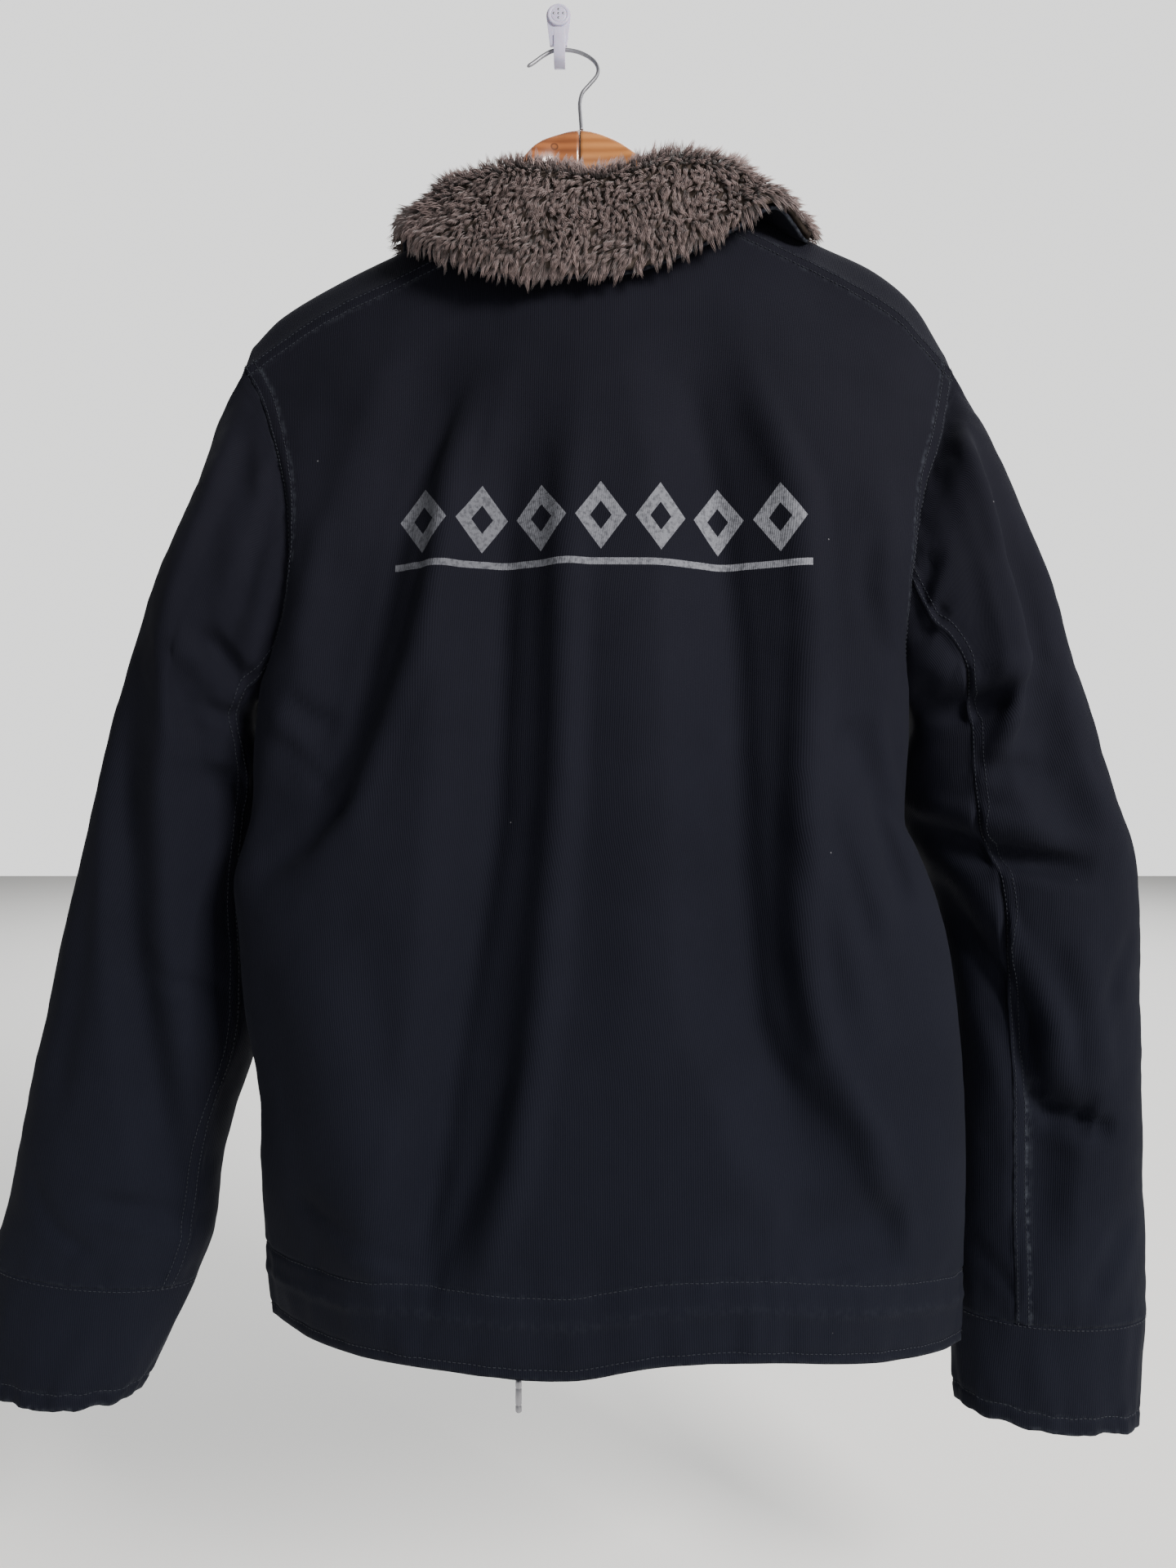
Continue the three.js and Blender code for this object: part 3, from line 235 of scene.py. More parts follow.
def grid_piece(name, grid, materials, uvs=None, marks=None, turned=False, closed_ends=False):
    """A piece from one grid of points. Points that meet are merged."""
    rows, columns = grid.shape[:2]
    faces = [tuple(face) for face in grid_faces(rows, columns, 0, turned)]
    if closed_ends:
        first, last = tuple(range(columns - 1)), tuple(range((rows - 1) * columns, rows * columns - 1))
        faces += [first[::-1], last] if not turned else [first, last[::-1]]
    flat_uvs = None if uvs is None else uvs.reshape(-1, 2)
    return make_piece(name, grid.reshape(-1, 3), faces, materials, flat_uvs, marks, merge=1e-6)


def turned_grid(profile, sides, foot=(0, 0, 0), axis=(0, 0, 1)):
    """A turned shape's grid, from radius and height rows that run up its outside, set on its foot."""
    profile = np.array(profile, float)
    angles = np.linspace(0, 2 * np.pi, sides + 1)
    grid = np.stack(np.broadcast_arrays(
        profile[:, :1] * np.cos(angles), profile[:, :1] * np.sin(angles), profile[:, 1:]), -1)
    turn = np.array(Vector(axis).to_track_quat("Z", "Y").to_matrix())
    return grid @ turn.T + np.array(foot)


def finish_piece(piece, slot, *nodes):
    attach(piece, "root")
    if nodes:
        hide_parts(*nodes)


cord_material, cord_tree, cord_shader = new_material(
    "braided_navy_cord", Roughness=0.8, Sheen_Weight=0.2, Sheen_Roughness=0.5)
cord_uv = add_node(cord_tree, "ShaderNodeUVMap", uv_map="surface")
cord_axes = add_node(cord_tree, "ShaderNodeSeparateXYZ", {0: cord_uv.outputs["UV"]})
cord_round = math_node(cord_tree, "MULTIPLY", cord_axes.outputs["X"], 2 * math.pi * BRAID_TURNS)
cord_along = math_node(cord_tree, "MULTIPLY", cord_axes.outputs["Y"], 2 * math.pi / BRAID_PITCH)
braid_waves = []
for operation in ("ADD", "SUBTRACT"):
    phase = math_node(cord_tree, operation, cord_round.outputs[0], cord_along.outputs[0])
    braid_waves.append(math_node(cord_tree, "SINE", phase.outputs[0]).outputs[0])
braid = math_node(cord_tree, "MAXIMUM", braid_waves[0], braid_waves[1])
braid_tone = tone_node(cord_tree, braid.outputs[0], (0.006, 0.007, 0.011, 1), (0.03, 0.034, 0.05, 1))
braid_bump = add_node(
    cord_tree, "ShaderNodeBump", {"Height": braid.outputs[0], "Strength": 0.8, "Distance": 0.0003})
cord_tree.links.new(braid_tone.outputs["Color"], cord_shader.inputs["Base Color"])
cord_tree.links.new(braid_bump.outputs["Normal"], cord_shader.inputs["Normal"])

steel_material, steel_tree, steel_shader = new_material("drawn_steel", Metallic=1.0, Roughness=0.48)
steel_place = add_node(steel_tree, "ShaderNodeTexCoord")
steel_stretch = add_node(
    steel_tree, "ShaderNodeMapping", {"Vector": steel_place.outputs["Object"], "Scale": (900, 900, 60)})
steel_streaks = add_node(steel_tree, "ShaderNodeTexNoise",
    {"Vector": steel_stretch.outputs[0], "Scale": 1.0})
steel_tone = tone_node(steel_tree, steel_streaks.outputs["Fac"], (0.24, 0.24, 0.26, 1),
    (0.42, 0.42, 0.45, 1))
steel_bump = add_node(
    steel_tree, "ShaderNodeBump", {"Height": steel_streaks.outputs["Fac"], "Strength": 0.15,
        "Distance": 0.0002})
steel_tree.links.new(steel_tone.outputs["Color"], steel_shader.inputs["Base Color"])
steel_tree.links.new(steel_bump.outputs["Normal"], steel_shader.inputs["Normal"])

cord_line = smooth(CORD_ROUTE)(np.linspace(0, 1, CORD_STEPS + 1))
cord_grid, cord_uvs = tube_grid(cord_line, np.full(len(cord_line), CORD_DIAMETER / 2), CORD_SIDES)
drawcord = grid_piece("waist_drawcord", cord_grid, [cord_material], cord_uvs, closed_ends=True)
finish_piece(drawcord, "cloth", "drawcord")
tip_length = TIP_PROFILE[-1][1]
tip_foot = cord_line[-1] - np.array([0, 0, CORD_GAP + tip_length])
cord_tip = grid_piece("drawcord_tip", turned_grid(TIP_PROFILE, TIP_SIDES, tip_foot), [steel_material])
finish_piece(cord_tip, "steel", "cord_tip")

# Wall hook
# A small stick-on or nailed hook of pale lilac-white plastic, moulded in one: a tapered plate with
# a round head that covers five fixing nails, and a grooved prong turned up to hold the wire.
PLATE_THICKNESS = 0.0024
HEAD_HEIGHT = 0.0095
PLATE_TOP_RADIUS = 0.0089
PLATE_FOOT_HALF_WIDTH = 0.0062
PLATE_FOOT_Z = -0.012
HEAD_PROFILE = [
    (0, 0), (0.008, 0), (0.008, 0.0012), (0.0077, 0.0018), (0.0072, 0.002), (0.0062, 0.002),
    (0.0059, 0.0017), (0.0054, 0.0017), (0.0051, 0.002), (0, 0.0021),
]
NAIL_PROFILE = [(0, 0), (0.0009, 0), (0.0009, 0.0002), (0.0006, 0.0004), (0, 0.0005)]
NAIL_PLACES = [(0, 0.0035), (-0.0034, 0.0006), (0.0034, 0.0006), (0, -0.0026), (0, 0.0005)]
PRONG_LEFT = -0.003
PRONG_WIDTH = 0.008
PRONG_OUTLINE = [
    (-0.0006, -0.004), (-0.0006, -0.024), (-0.003, -0.03), (-0.009, -0.033), (-0.015, -0.0315),
    (-0.0185, -0.027), (-0.0185, -0.009), (-0.0167, -0.0075), (-0.015, -0.009), (-0.0146, -0.021),
    (-0.0136, -0.0234), (-0.0098, -0.0234), (-0.0055, -0.019), (-0.004, -0.012), (-0.004, -0.004),
]
HOOK_BEVEL = 0.0005

plastic_material, plastic_tree, plastic_shader = new_material(
    "lilac_white_plastic", Roughness=0.38, Subsurface_Weight=0.15, Subsurface_Scale=0.002)
plastic_place = add_node(plastic_tree, "ShaderNodeTexCoord")
plastic_cloud = add_node(
    plastic_tree, "ShaderNodeTexNoise", {"Vector": plastic_place.outputs["Object"], "Scale": 160.0,
        "Detail": 4.0})
plastic_tone = tone_node(plastic_tree, plastic_cloud.outputs["Fac"], (0.46, 0.43, 0.57, 1),
    (0.58, 0.55, 0.7, 1))
plastic_bump = add_node(
    plastic_tree, "ShaderNodeBump", {"Height": plastic_cloud.outputs["Fac"], "Strength": 0.1,
        "Distance": 0.0003})
plastic_tree.links.new(plastic_tone.outputs["Color"], plastic_shader.inputs["Base Color"])
plastic_tree.links.new(plastic_bump.outputs["Normal"], plastic_shader.inputs["Normal"])


def slab(outline, low, high):
    """Points and faces of a flat shape given as 3-D outlines of its two faces."""
    count = len(outline)
    points = [low(point) for point in outline] + [high(point) for point in outline]
    faces = [tuple(range(count))[::-1], tuple(range(count, 2 * count))]
    faces += [(k, (k + 1) % count, count + (k + 1) % count, count + k) for k in range(count)]
    return points, faces


plate_arc = [(PLATE_TOP_RADIUS * math.cos(a), HEAD_HEIGHT + PLATE_TOP_RADIUS * math.sin(a))
             for a in np.linspace(0, math.pi, 33)]
plate_outline = [(-PLATE_FOOT_HALF_WIDTH, PLATE_FOOT_Z), (PLATE_FOOT_HALF_WIDTH, PLATE_FOOT_Z)] + plate_arc
plate_points, plate_faces = slab(
    plate_outline, lambda p: (p[0], 0, p[1]), lambda p: (p[0], -PLATE_THICKNESS, p[1]))
prong_points, prong_faces = slab(
    PRONG_OUTLINE, lambda p: (PRONG_LEFT, p[0], p[1]), lambda p: (PRONG_LEFT + PRONG_WIDTH, p[0], p[1]))
head_grid = turned_grid(HEAD_PROFILE, 40, (0, -PLATE_THICKNESS, HEAD_HEIGHT), (0, -1, 0))
hook_points = [*plate_points, *prong_points, *head_grid.reshape(-1, 3).tolist()]
hook_faces = list(plate_faces)
hook_faces += [tuple(k + len(plate_points) for k in face) for face in prong_faces]
head_start = len(plate_points) + len(prong_points)
hook_faces += [tuple(face) for face in grid_faces(*head_grid.shape[:2], head_start)]
wall_hook = make_piece("moulded_wall_hook", hook_points, hook_faces, [plastic_material], merge=1e-6)
work = bmesh.new()
work.from_mesh(wall_hook.data)
bmesh.ops.recalc_face_normals(work, faces=work.faces)
work.to_mesh(wall_hook.data)
work.free()
rounding = wall_hook.modifiers.new("rounding", "BEVEL")
rounding.width = HOOK_BEVEL
rounding.segments = 3
rounding.limit_method = "ANGLE"
rounding.angle_limit = math.radians(40)
finish_piece(wall_hook, "plastic", "wall_hook")

nail_grids = [turned_grid(NAIL_PROFILE, 16, (x, -PLATE_THICKNESS - 0.0019, HEAD_HEIGHT + z), (0, -1, 0))
              for x, z in NAIL_PLACES]
nail_size = nail_grids[0].shape[0] * nail_grids[0].shape[1]
nail_faces = [tuple(face) for k, grid in enumerate(nail_grids)
              for face in grid_faces(*grid.shape[:2], k * nail_size)]
nails = make_piece(
    "wall_hook_nails", np.concatenate([grid.reshape(-1, 3) for grid in nail_grids]), nail_faces,
    [steel_material], merge=1e-6)
finish_piece(nails, "steel")

# Hanger
# Two halves of varnished hardwood glued at the middle, a screw plug in the left one, and a hook of
# bright 2.7 mm wire that is screwed into the join and hangs over the wall hook's prong.
WIRE_RADIUS = 0.00135
WIRE_ROUTE = [
    (16.8, -40, -94.1), (16, -36, -82), (15.6, -31, -70), (17.5, -27.5, -61), (22.5, -24, -53),
    (27.5, -20, -44.5), (28.4, -17.5, -38), (26, -15, -31.5), (20.5, -13.2, -26.2), (13, -12.3, -22.6),
    (4, -12, -21.2), (-4, -12, -22), (-11, -12.3, -25.8), (-17.5, -13, -31), (-22, -13.5, -34.2),
]
WIRE_STEPS = 150
WIRE_SIDES = 20
MILLIMETRE = 0.001
HANGER_SECTIONS = {
    # x, top, bottom, middle of the depth, depth, in millimetres
    "left": [
        (15.55, -94.5, -130, -40, 15), (8, -95.5, -130, -40, 15), (-1, -98, -132, -40, 15),
        (-9, -102.5, -135, -43, 15), (-17, -110, -141, -47, 15), (-27, -126, -154, -52, 14),
        (-34, -147, -169, -57, 13), (-43, -163, -185, -60.5, 13), (-58, -172.5, -197, -61, 13),
        (-98, -192, -216, -61, 13), (-143, -214, -238, -61.5, 13), (-180, -238, -261, -62, 13),
        (-188, -247, -260, -62, 8),
    ],
    "right": [
        (15.6, -94.5, -130, -40, 15), (25, -95.8, -130, -40, 15), (35, -99, -131, -40, 15),
        (45, -104.5, -134, -41, 15), (60, -119.5, -146, -48, 15), (70, -131, -156, -53, 14),
        (82, -144, -168, -58, 13), (96, -155, -178, -60.5, 13), (114, -160.5, -186, -61, 13),
        (178, -191, -215, -61, 13), (213, -208, -232, -62, 13), (236, -228.5, -251, -62, 13),
        (243, -240, -250, -62, 8),
    ],
}
HANGER_STEPS = 110
HANGER_SIDES = 40
JOIN_PLACE = 0.01558
PLUG_PLACE = (-0.0017, 0, -0.1094)
PLUG_RADIUS = 0.0025
WOOD_TONES = {
    "left": ((0.16, 0.045, 0.012, 1), (0.36, 0.12, 0.035, 1)),
    "right": ((0.28, 0.095, 0.022, 1), (0.5, 0.2, 0.055, 1)),
}


def varnished_wood(name, dark, light, with_plug):
    material, tree, shader = new_material(
        name, Roughness=0.3, Coat_Weight=0.8, Coat_Roughness=0.1, Coat_IOR=1.5)
    place = add_node(tree, "ShaderNodeTexCoord")
    lengthwise = add_node(
        tree, "ShaderNodeMapping",
        {"Vector": place.outputs["Object"], "Rotation": (0, math.radians(20), 0), "Scale": (14, 90, 150)})
    grain = add_node(
        tree, "ShaderNodeTexNoise", {"Vector": lengthwise.outputs[0], "Scale": 1.6, "Detail": 8.0,
            "Roughness": 0.65})
    bands = add_node(tree, "ShaderNodeTexWave", {
        "Vector": lengthwise.outputs[0], "Scale": 0.32, "Distortion": 5.0, "Detail": 3.0},
        bands_direction="Z")
    figure = math_node(tree, "ADD", grain.outputs["Fac"], bands.outputs["Fac"])
    shade = math_node(tree, "MULTIPLY", figure.outputs[0], 0.5)
    tone = add_node(tree, "ShaderNodeValToRGB", {"Fac": shade.outputs[0]})
    tone.color_ramp.elements[0].position = 0.12
    tone.color_ramp.elements[0].color = dark
    tone.color_ramp.elements[1].position = 0.85
    tone.color_ramp.elements[1].color = light
    place_parts = add_node(tree, "ShaderNodeSeparateXYZ", {0: place.outputs["Object"]})
    from_join = math_node(tree, "SUBTRACT", place_parts.outputs["X"], JOIN_PLACE)
    join_reach = math_node(tree, "ABSOLUTE", from_join.outputs[0])
    join_share = add_node(tree, "ShaderNodeMapRange", {
        "Value": join_reach.outputs[0], "From Min": 0.0009, "From Max": 0.0004,
        "To Min": 0.0, "To Max": 0.9})
    joined = add_node(tree, "ShaderNodeMix", {
        0: join_share.outputs[0], 6: tone.outputs["Color"], 7: (0.03, 0.01, 0.004, 1)}, data_type="RGBA")
    colour = joined.outputs[2]
    if with_plug:
        across = add_node(
            tree, "ShaderNodeVectorMath", {0: place.outputs["Object"], 1: (1, 0, 1)}, operation="MULTIPLY")
        reach = add_node(
            tree, "ShaderNodeVectorMath", {0: across.outputs[0], 1: PLUG_PLACE}, operation="DISTANCE")
        plug = add_node(tree, "ShaderNodeMapRange", {
            "Value": reach.outputs["Value"], "From Min": PLUG_RADIUS * 1.15, "From Max": PLUG_RADIUS * 0.95,
            "To Min": 0.0, "To Max": 0.75})
        rim = add_node(tree, "ShaderNodeMapRange", {
            "Value": reach.outputs["Value"], "From Min": PLUG_RADIUS * 0.55, "From Max": PLUG_RADIUS * 0.8,
            "To Min": 0.35, "To Max": 1.0})
        share = math_node(tree, "MULTIPLY", plug.outputs[0], rim.outputs[0])
        darker = add_node(tree, "ShaderNodeMix",
            {0: share.outputs[0], 6: colour, 7: (0.05, 0.016, 0.006, 1)},
                          data_type="RGBA")
        colour = darker.outputs[2]
    pores = add_node(tree, "ShaderNodeBump",
        {"Height": grain.outputs["Fac"], "Strength": 0.12, "Distance": 0.0004})
    tree.links.new(colour, shader.inputs["Base Color"])
    tree.links.new(pores.outputs["Normal"], shader.inputs["Normal"])
    return material


for side, sections in HANGER_SECTIONS.items():
    rows = smooth(np.array(sections) * MILLIMETRE)(np.linspace(0, 1, HANGER_STEPS + 1))
    angles = np.linspace(0, 2 * np.pi, HANGER_SIDES + 1)
    x, top, bottom, middle, depth = (column[:, None] for column in rows.T)
    grid = np.stack(np.broadcast_arrays(
        x, middle + depth / 2 * np.cos(angles),
        (top + bottom) / 2 + (top - bottom) / 2 * np.sin(angles)), -1)
    wood = varnished_wood(f"varnished_wood_{side}", *WOOD_TONES[side], with_plug=side == "left")
    hanger_half = grid_piece(f"hanger_half_{side}", grid, [wood], turned=side == "left", closed_ends=True)
    finish_piece(hanger_half, "wood", f"hanger_wood_{side}")

wire_line = smooth(np.array(WIRE_ROUTE) * MILLIMETRE)(np.linspace(0, 1, WIRE_STEPS + 1))
wire_radii = np.full(len(wire_line), WIRE_RADIUS)
wire_radii[-3:] *= (0.95, 0.8, 0.45)
wire_grid, wire_uvs = tube_grid(wire_line, wire_radii, WIRE_SIDES)
wire = grid_piece("hanger_wire_hook", wire_grid, [steel_material], wire_uvs, closed_ends=True)
finish_piece(wire, "steel", "hanger_wire")

# Back panel
# One wide piece of dark navy ribbed cotton, the jacket's whole back. It is felled into the sleeves and
# fronts with two rows of stitches, and turned up at the hem into a channel that holds the cord.
SEAM_WIDTH = 0.009
SEAM_STITCH_ROWS = (0.0015, SEAM_WIDTH - 0.0012)
SEAM_RISE = 0.0008
CLOTH_THICKNESS = 0.0013
SECTION_ROUNDNESS = 2.4
CHANNEL_HEIGHT = 0.05
CHANNEL_SWELL = 0.002
CHANNEL_LOW_STITCH = 0.0065
CHANNEL_HIGH_STITCH = 0.049
CORD_RIDGE = 0.032
CENTRE_X = 0.033
SIDE_LENGTH = 0.402
ARMHOLE_LENGTH = 0.25
SIDE_SHARE = SIDE_LENGTH / (SIDE_LENGTH + ARMHOLE_LENGTH)
TOP_BLEND = 0.28
HEM_BLEND = 0.2
FOLD_END_RATE = 4
FOLD_END_SHARE = 0.3
FOLD_SIDE_RATE = 1.6
FOLD_TOP_RATE = 9
PRINT_CENTRE = (0.029, -0.386)
PRINT_COLOUR = (0.2, 0.205, 0.23, 1)
PRINT_FADED = 0.5
PRINT_PITCH = 0.036
PRINT_HEIGHT = 0.021
PRINT_REACH = 3.5

# Lines of the jacket in millimetres, each a row of x, y, z
SIDE_SEAM = {
    "left": [
        (-183, -92, -889), (-186, -94, -850), (-187, -98, -790), (-187, -98, -745), (-197, -98, -690),
        (-201, -98, -640), (-204, -98, -608), (-193, -97, -565), (-192, -95, -525), (-189, -92, -486),
    ],
    "right": [
        (263, -92, -907), (263, -94, -865), (261, -98, -790), (259, -98, -730), (253, -98, -665),
        (244, -98, -625), (230, -98, -588), (223, -97, -572), (226, -95, -520), (227, -92, -486),
    ],
}
BACK_ARMHOLE = {
    "left": [
        (-204, -82, -274), (-190, -94, -298), (-178, -106, -330), (-168, -115, -362), (-164, -120, -398),
        (-168, -117, -438), (-178, -106, -464), (-189, -92, -486),
    ],
    "right": [
        (260, -82, -276), (254, -92, -302), (245, -104, -330), (231, -115, -366), (224, -120, -405),
        (221, -116, -440), (222, -105, -464), (227, -92, -486),
    ],
}
SHOULDER_SEAM = {
    "left": [(-204, -82, -274), (-168, -86, -250), (-138, -87, -233), (-103, -88, -217), (-51, -88, -192)],
    "right": [(260, -82, -276), (238, -85, -253), (222, -86, -237), (170, -88, -208), (109, -88, -178)],
}
BACK_NECK = [(-51, -88, -192), (-15, -98, -197), (29, -102, -199), (74, -98, -191), (109, -88, -178)]
BACK_HEM = [
    (-183, -92, -889), (-146, -128, -891), (-98, -155, -890), (-37, -167, -893), (13, -169, -895),
    (55, -169, -888), (83, -168, -886), (118, -165, -886), (168, -154, -892), (202, -142, -897),
    (240, -118, -902), (263, -92, -907),
]
BACK_DEPTH = [
    (-160, -96), (-240, -120), (-300, -136), (-400, -154), (-500, -163), (-650, -168), (-800, -170),
    (-910, -168),
]

# Folds, in millimetres: depth, half width, and a path of x and z. A negative depth is a ridge.
BACK_FOLDS = [
    (17, 44, [(-60, -262), (-80, -330), (-106, -415), (-122, -505), (-150, -560), (-200, -606)]),
    (15, 42, [(-20, -290), (-30, -400), (-34, -540), (-44, -665), (-58, -770), (-84, -845)]),
    (17, 44, [(76, -262), (98, -345), (108, -470), (110, -610), (118, -690), (142, -745), (176, -805)]),
    (9, 24, [(178, -505), (193, -557), (214, -615)]),
    (4, 30, [(-132, -300), (-138, -360), (-150, -430)]),
    (8, 36, [(130, -810), (170, -816), (215, -812)]),
    (-7, 40, [(-150, -640), (-120, -760), (-105, -860)]),
    (-6, 40, [(50, -420), (54, -560), (56, -720)]),
]
BACK_CREASES = [
    (3.5, 9, [(-165, -492), (-148, -506), (-132, -512)]),
    (3, 8, [(-166, -520), (-150, -536), (-138, -552)]),
    (-3.5, 14, [(-172, -500), (-156, -520), (-146, -545)]),
    (4, 13, [(-120, -548), (-150, -580), (-186, -604)]),
    (3, 12, [(135, -640), (150, -700), (190, -770)]),
    (2.5, 9, [(196, -560), (207, -590), (216, -622)]),
    (-3, 16, [(150, -560), (168, -620), (190, -690)]),
    (2, 10, [(-20, -700), (-42, -775), (-70, -840)]),
    (2, 9, [(216, -470), (208, -510), (214, -545)]),
    (2.2, 11, [(196, -380), (190, -430), (204, -480)]),
    (-2.2, 14, [(-142, -380), (-150, -430), (-160, -470)]),
    (1.8, 8, [(150, -838), (180, -832), (214, -836)]),
    (2, 9, [(-160, -795), (-120, -815), (-80, -835)]),
    (-5.5, 13,
        [(-48, -300), (-62, -355), (-68, -413), (-82, -470), (-99, -518), (-118, -566), (-150, -596)]),
    (3, 11, [(-66, -310), (-92, -390), (-104, -450), (-122, -520), (-148, -562)]),
    (4.5, 12, [(-27, -360), (-31, -470), (-34, -566), (-41, -614), (-58, -709), (-71, -790), (-82, -850)]),
    (-5.5, 16, [(10, -340), (9, -420), (6, -540), (-4, -665), (-20, -770), (-44, -840)]),
    (4, 14, [(84, -300), (100, -380), (110, -470), (114, -600), (122, -690), (146, -745)]),
    (-6.5, 17, [(122, -300), (150, -370), (157, -450), (152, -540), (149, -610), (149, -661), (158, -712),
                (188, -757), (212, -815)]),
    (-3, 18, [(196, -360), (204, -430), (206, -500)]),
    (-4, 14, [(180, -540), (190, -590), (200, -640)]),
]


def lerp(a, b, share):
    return a + (b - a) * share


def bell(distance, width):
    return np.exp(-(distance / width) ** 2)


def ease(share):
    s = np.clip(share, 0, 1)
    return s * s * (3 - 2 * s)


def line(rows, steps=None, places=None):
    """Points in metres along a table of millimetre rows."""
    places = np.linspace(0, 1, steps + 1) if places is None else places
    return smooth(np.array(rows, float) * MILLIMETRE)(places)


def depth_at(table, z):
    heights, depths = np.array(table[::-1], float).T * MILLIMETRE
    return smooth(depths[:, None], heights)(np.ravel(z))[:, 0].reshape(np.shape(z))


def fold_depth(folds, x, z):
    """How far folds push a surface in at x and z, in metres."""
    total = np.zeros(np.shape(x))
    for depth, width, path in folds:
        path = np.array(path, float) * MILLIMETRE
        nearest = np.full(np.shape(x), np.inf)
        place = np.zeros(np.shape(x))
        for k, (a, b) in enumerate(zip(path[:-1], path[1:])):
            span = b - a
            along = np.clip(((x - a[0]) * span[0] + (z - a[1]) * span[1]) / span.dot(span), 0, 1)
            reach = np.hypot(x - a[0] - along * span[0], z - a[1] - along * span[1])
            closer = reach < nearest
            nearest = np.where(closer, reach, nearest)
            place = np.where(closer, (k + along) / (len(path) - 1), place)
        across = 1 - np.minimum(nearest / (width * MILLIMETRE), 1) ** 2
        tails_off = ease(np.minimum(place, 1 - place) * FOLD_END_RATE + FOLD_END_SHARE)
        total += depth * MILLIMETRE * across * across * tails_off
    return total


def round_section(share):
    return (1 - (1 - np.minimum(share, 1)) ** SECTION_ROUNDNESS) ** (1 / SECTION_ROUNDNESS)


def channel_swell(height):
    share = height / CHANNEL_HEIGHT
    return np.where((share > 0) & (share < 1), CHANNEL_SWELL * np.sin(np.pi * np.clip(share, 0, 1)), 0)


def panel_grid(u, v, sides, top, hem, section, face_depth, folds, fold_sign):
    """Points between a panel's side, top and hem lines, bellied to the depth of its face."""
    start, end = sides
    across, up = u[None, :, None], v[:, None, None]
    corners = lerp(lerp(hem[0], hem[-1], across), lerp(top[0], top[-1], across), up)
    flat = lerp(hem[None], top[None], up) + lerp(start[:, None], end[:, None], across) - corners
    x, z = flat[..., 0], flat[..., 2]
    edge_depth = lerp(start[:, None, 1], end[:, None, 1], u)
    y = lerp(edge_depth, depth_at(face_depth, z), section)
    top_by_table = lerp(lerp(start[-1, 1], end[-1, 1], u), depth_at(face_depth, top[:, 2]), section)
    hem_by_table = lerp(lerp(start[0, 1], end[0, 1], u), depth_at(face_depth, hem[:, 2]), section)
    near_top = ease((v - 1 + TOP_BLEND) / TOP_BLEND)[:, None]
    near_hem = ease((HEM_BLEND - v) / HEM_BLEND)[:, None]
    y = y + near_top * (top[:, 1] - top_by_table) + near_hem * (hem[:, 1] - hem_by_table)
    fade = ease(section * FOLD_SIDE_RATE) * ease((1 - v) * FOLD_TOP_RATE)[:, None]
    y = y + fold_sign * fold_depth(folds, x, z) * fade
    height = v[:, None] * (top[:, 2] - hem[:, 2])
    y = y - fold_sign * channel_swell(height) * np.minimum(section * 2, 1)
    return np.stack([x, y, z], -1)


def surface_normals(grid):
    normals = np.cross(np.gradient(grid, axis=1), np.gradient(grid, axis=0))
    return normals / np.maximum(np.linalg.norm(normals, axis=-1, keepdims=True), 1e-12)


def arc_lengths(grid, axis):
    steps = np.linalg.norm(np.diff(grid, axis=axis), axis=-1)
    zero = np.zeros_like(np.take(steps, [0], axis=axis))
    return np.cumsum(np.concatenate([zero, steps], axis=axis), axis=axis)


def shares(*zones):
    """Places from 0 to 1 in zones of (end, steps), so that edges can be finer than the middle."""
    places = [np.array([0.0])]
    start = 0.0
    for end, steps in zones:
        places.append(np.linspace(start, end, steps + 1)[1:])
        start = end
    return np.concatenate(places)


def ripple(places, scale, seed):
    """Smooth noise from -1 to 1 at points, for puckers and unevenness."""
    flat = np.asarray(places, float).reshape(-1, 3) * scale + seed * 17.3
    values = [noise.noise(Vector(point)) for point in flat]
    return np.array(values).reshape(np.shape(places)[:-1])


def felled(distance, arc, seed):
    """Rise and pale edge marks of a felled seam: a flat ridge that puckers between its two rows of stitches.
    The marks are wear, and a painted highlight where the right sleeve uses them.
    """
    plateau = ease((SEAM_WIDTH - distance) / 0.0022)
    pull = (bell(distance - 0.0015, 0.0009)
            + bell(distance - SEAM_WIDTH + 0.0012, 0.0009))
    beat = ripple(np.stack([arc, np.full_like(arc, seed), distance * 0.4], -1), 160, seed)
    near = bell(distance, 0.02)
    rise = SEAM_RISE * plateau - 0.00035 * pull * plateau + 0.0007 * beat * near
    wear_and_highlight_value = bell(distance - SEAM_WIDTH, 0.0011) + 0.5 * bell(distance, 0.0012)
    return rise, wear_and_highlight_value


def inset_line(grid, normals, side, distance, lift=0.0003):
    """The line that lies a distance in from one side of a grid, just over its surface."""
    if side in ("left", "right"):
        grid, normals = grid.swapaxes(0, 1), normals.swapaxes(0, 1)
    if side in ("top", "right"):
        grid, normals = grid[::-1], normals[::-1]
    arcs = arc_lengths(grid, 0)
    points = []
    for column in range(grid.shape[1]):
        place = [np.interp(distance, arcs[:, column], grid[:, column, c]) for c in range(3)]
        out = [np.interp(distance, arcs[:, column], normals[:, column, c]) for c in range(3)]
        points.append(np.array(place) + lift * np.array(out))
    return np.array(points)


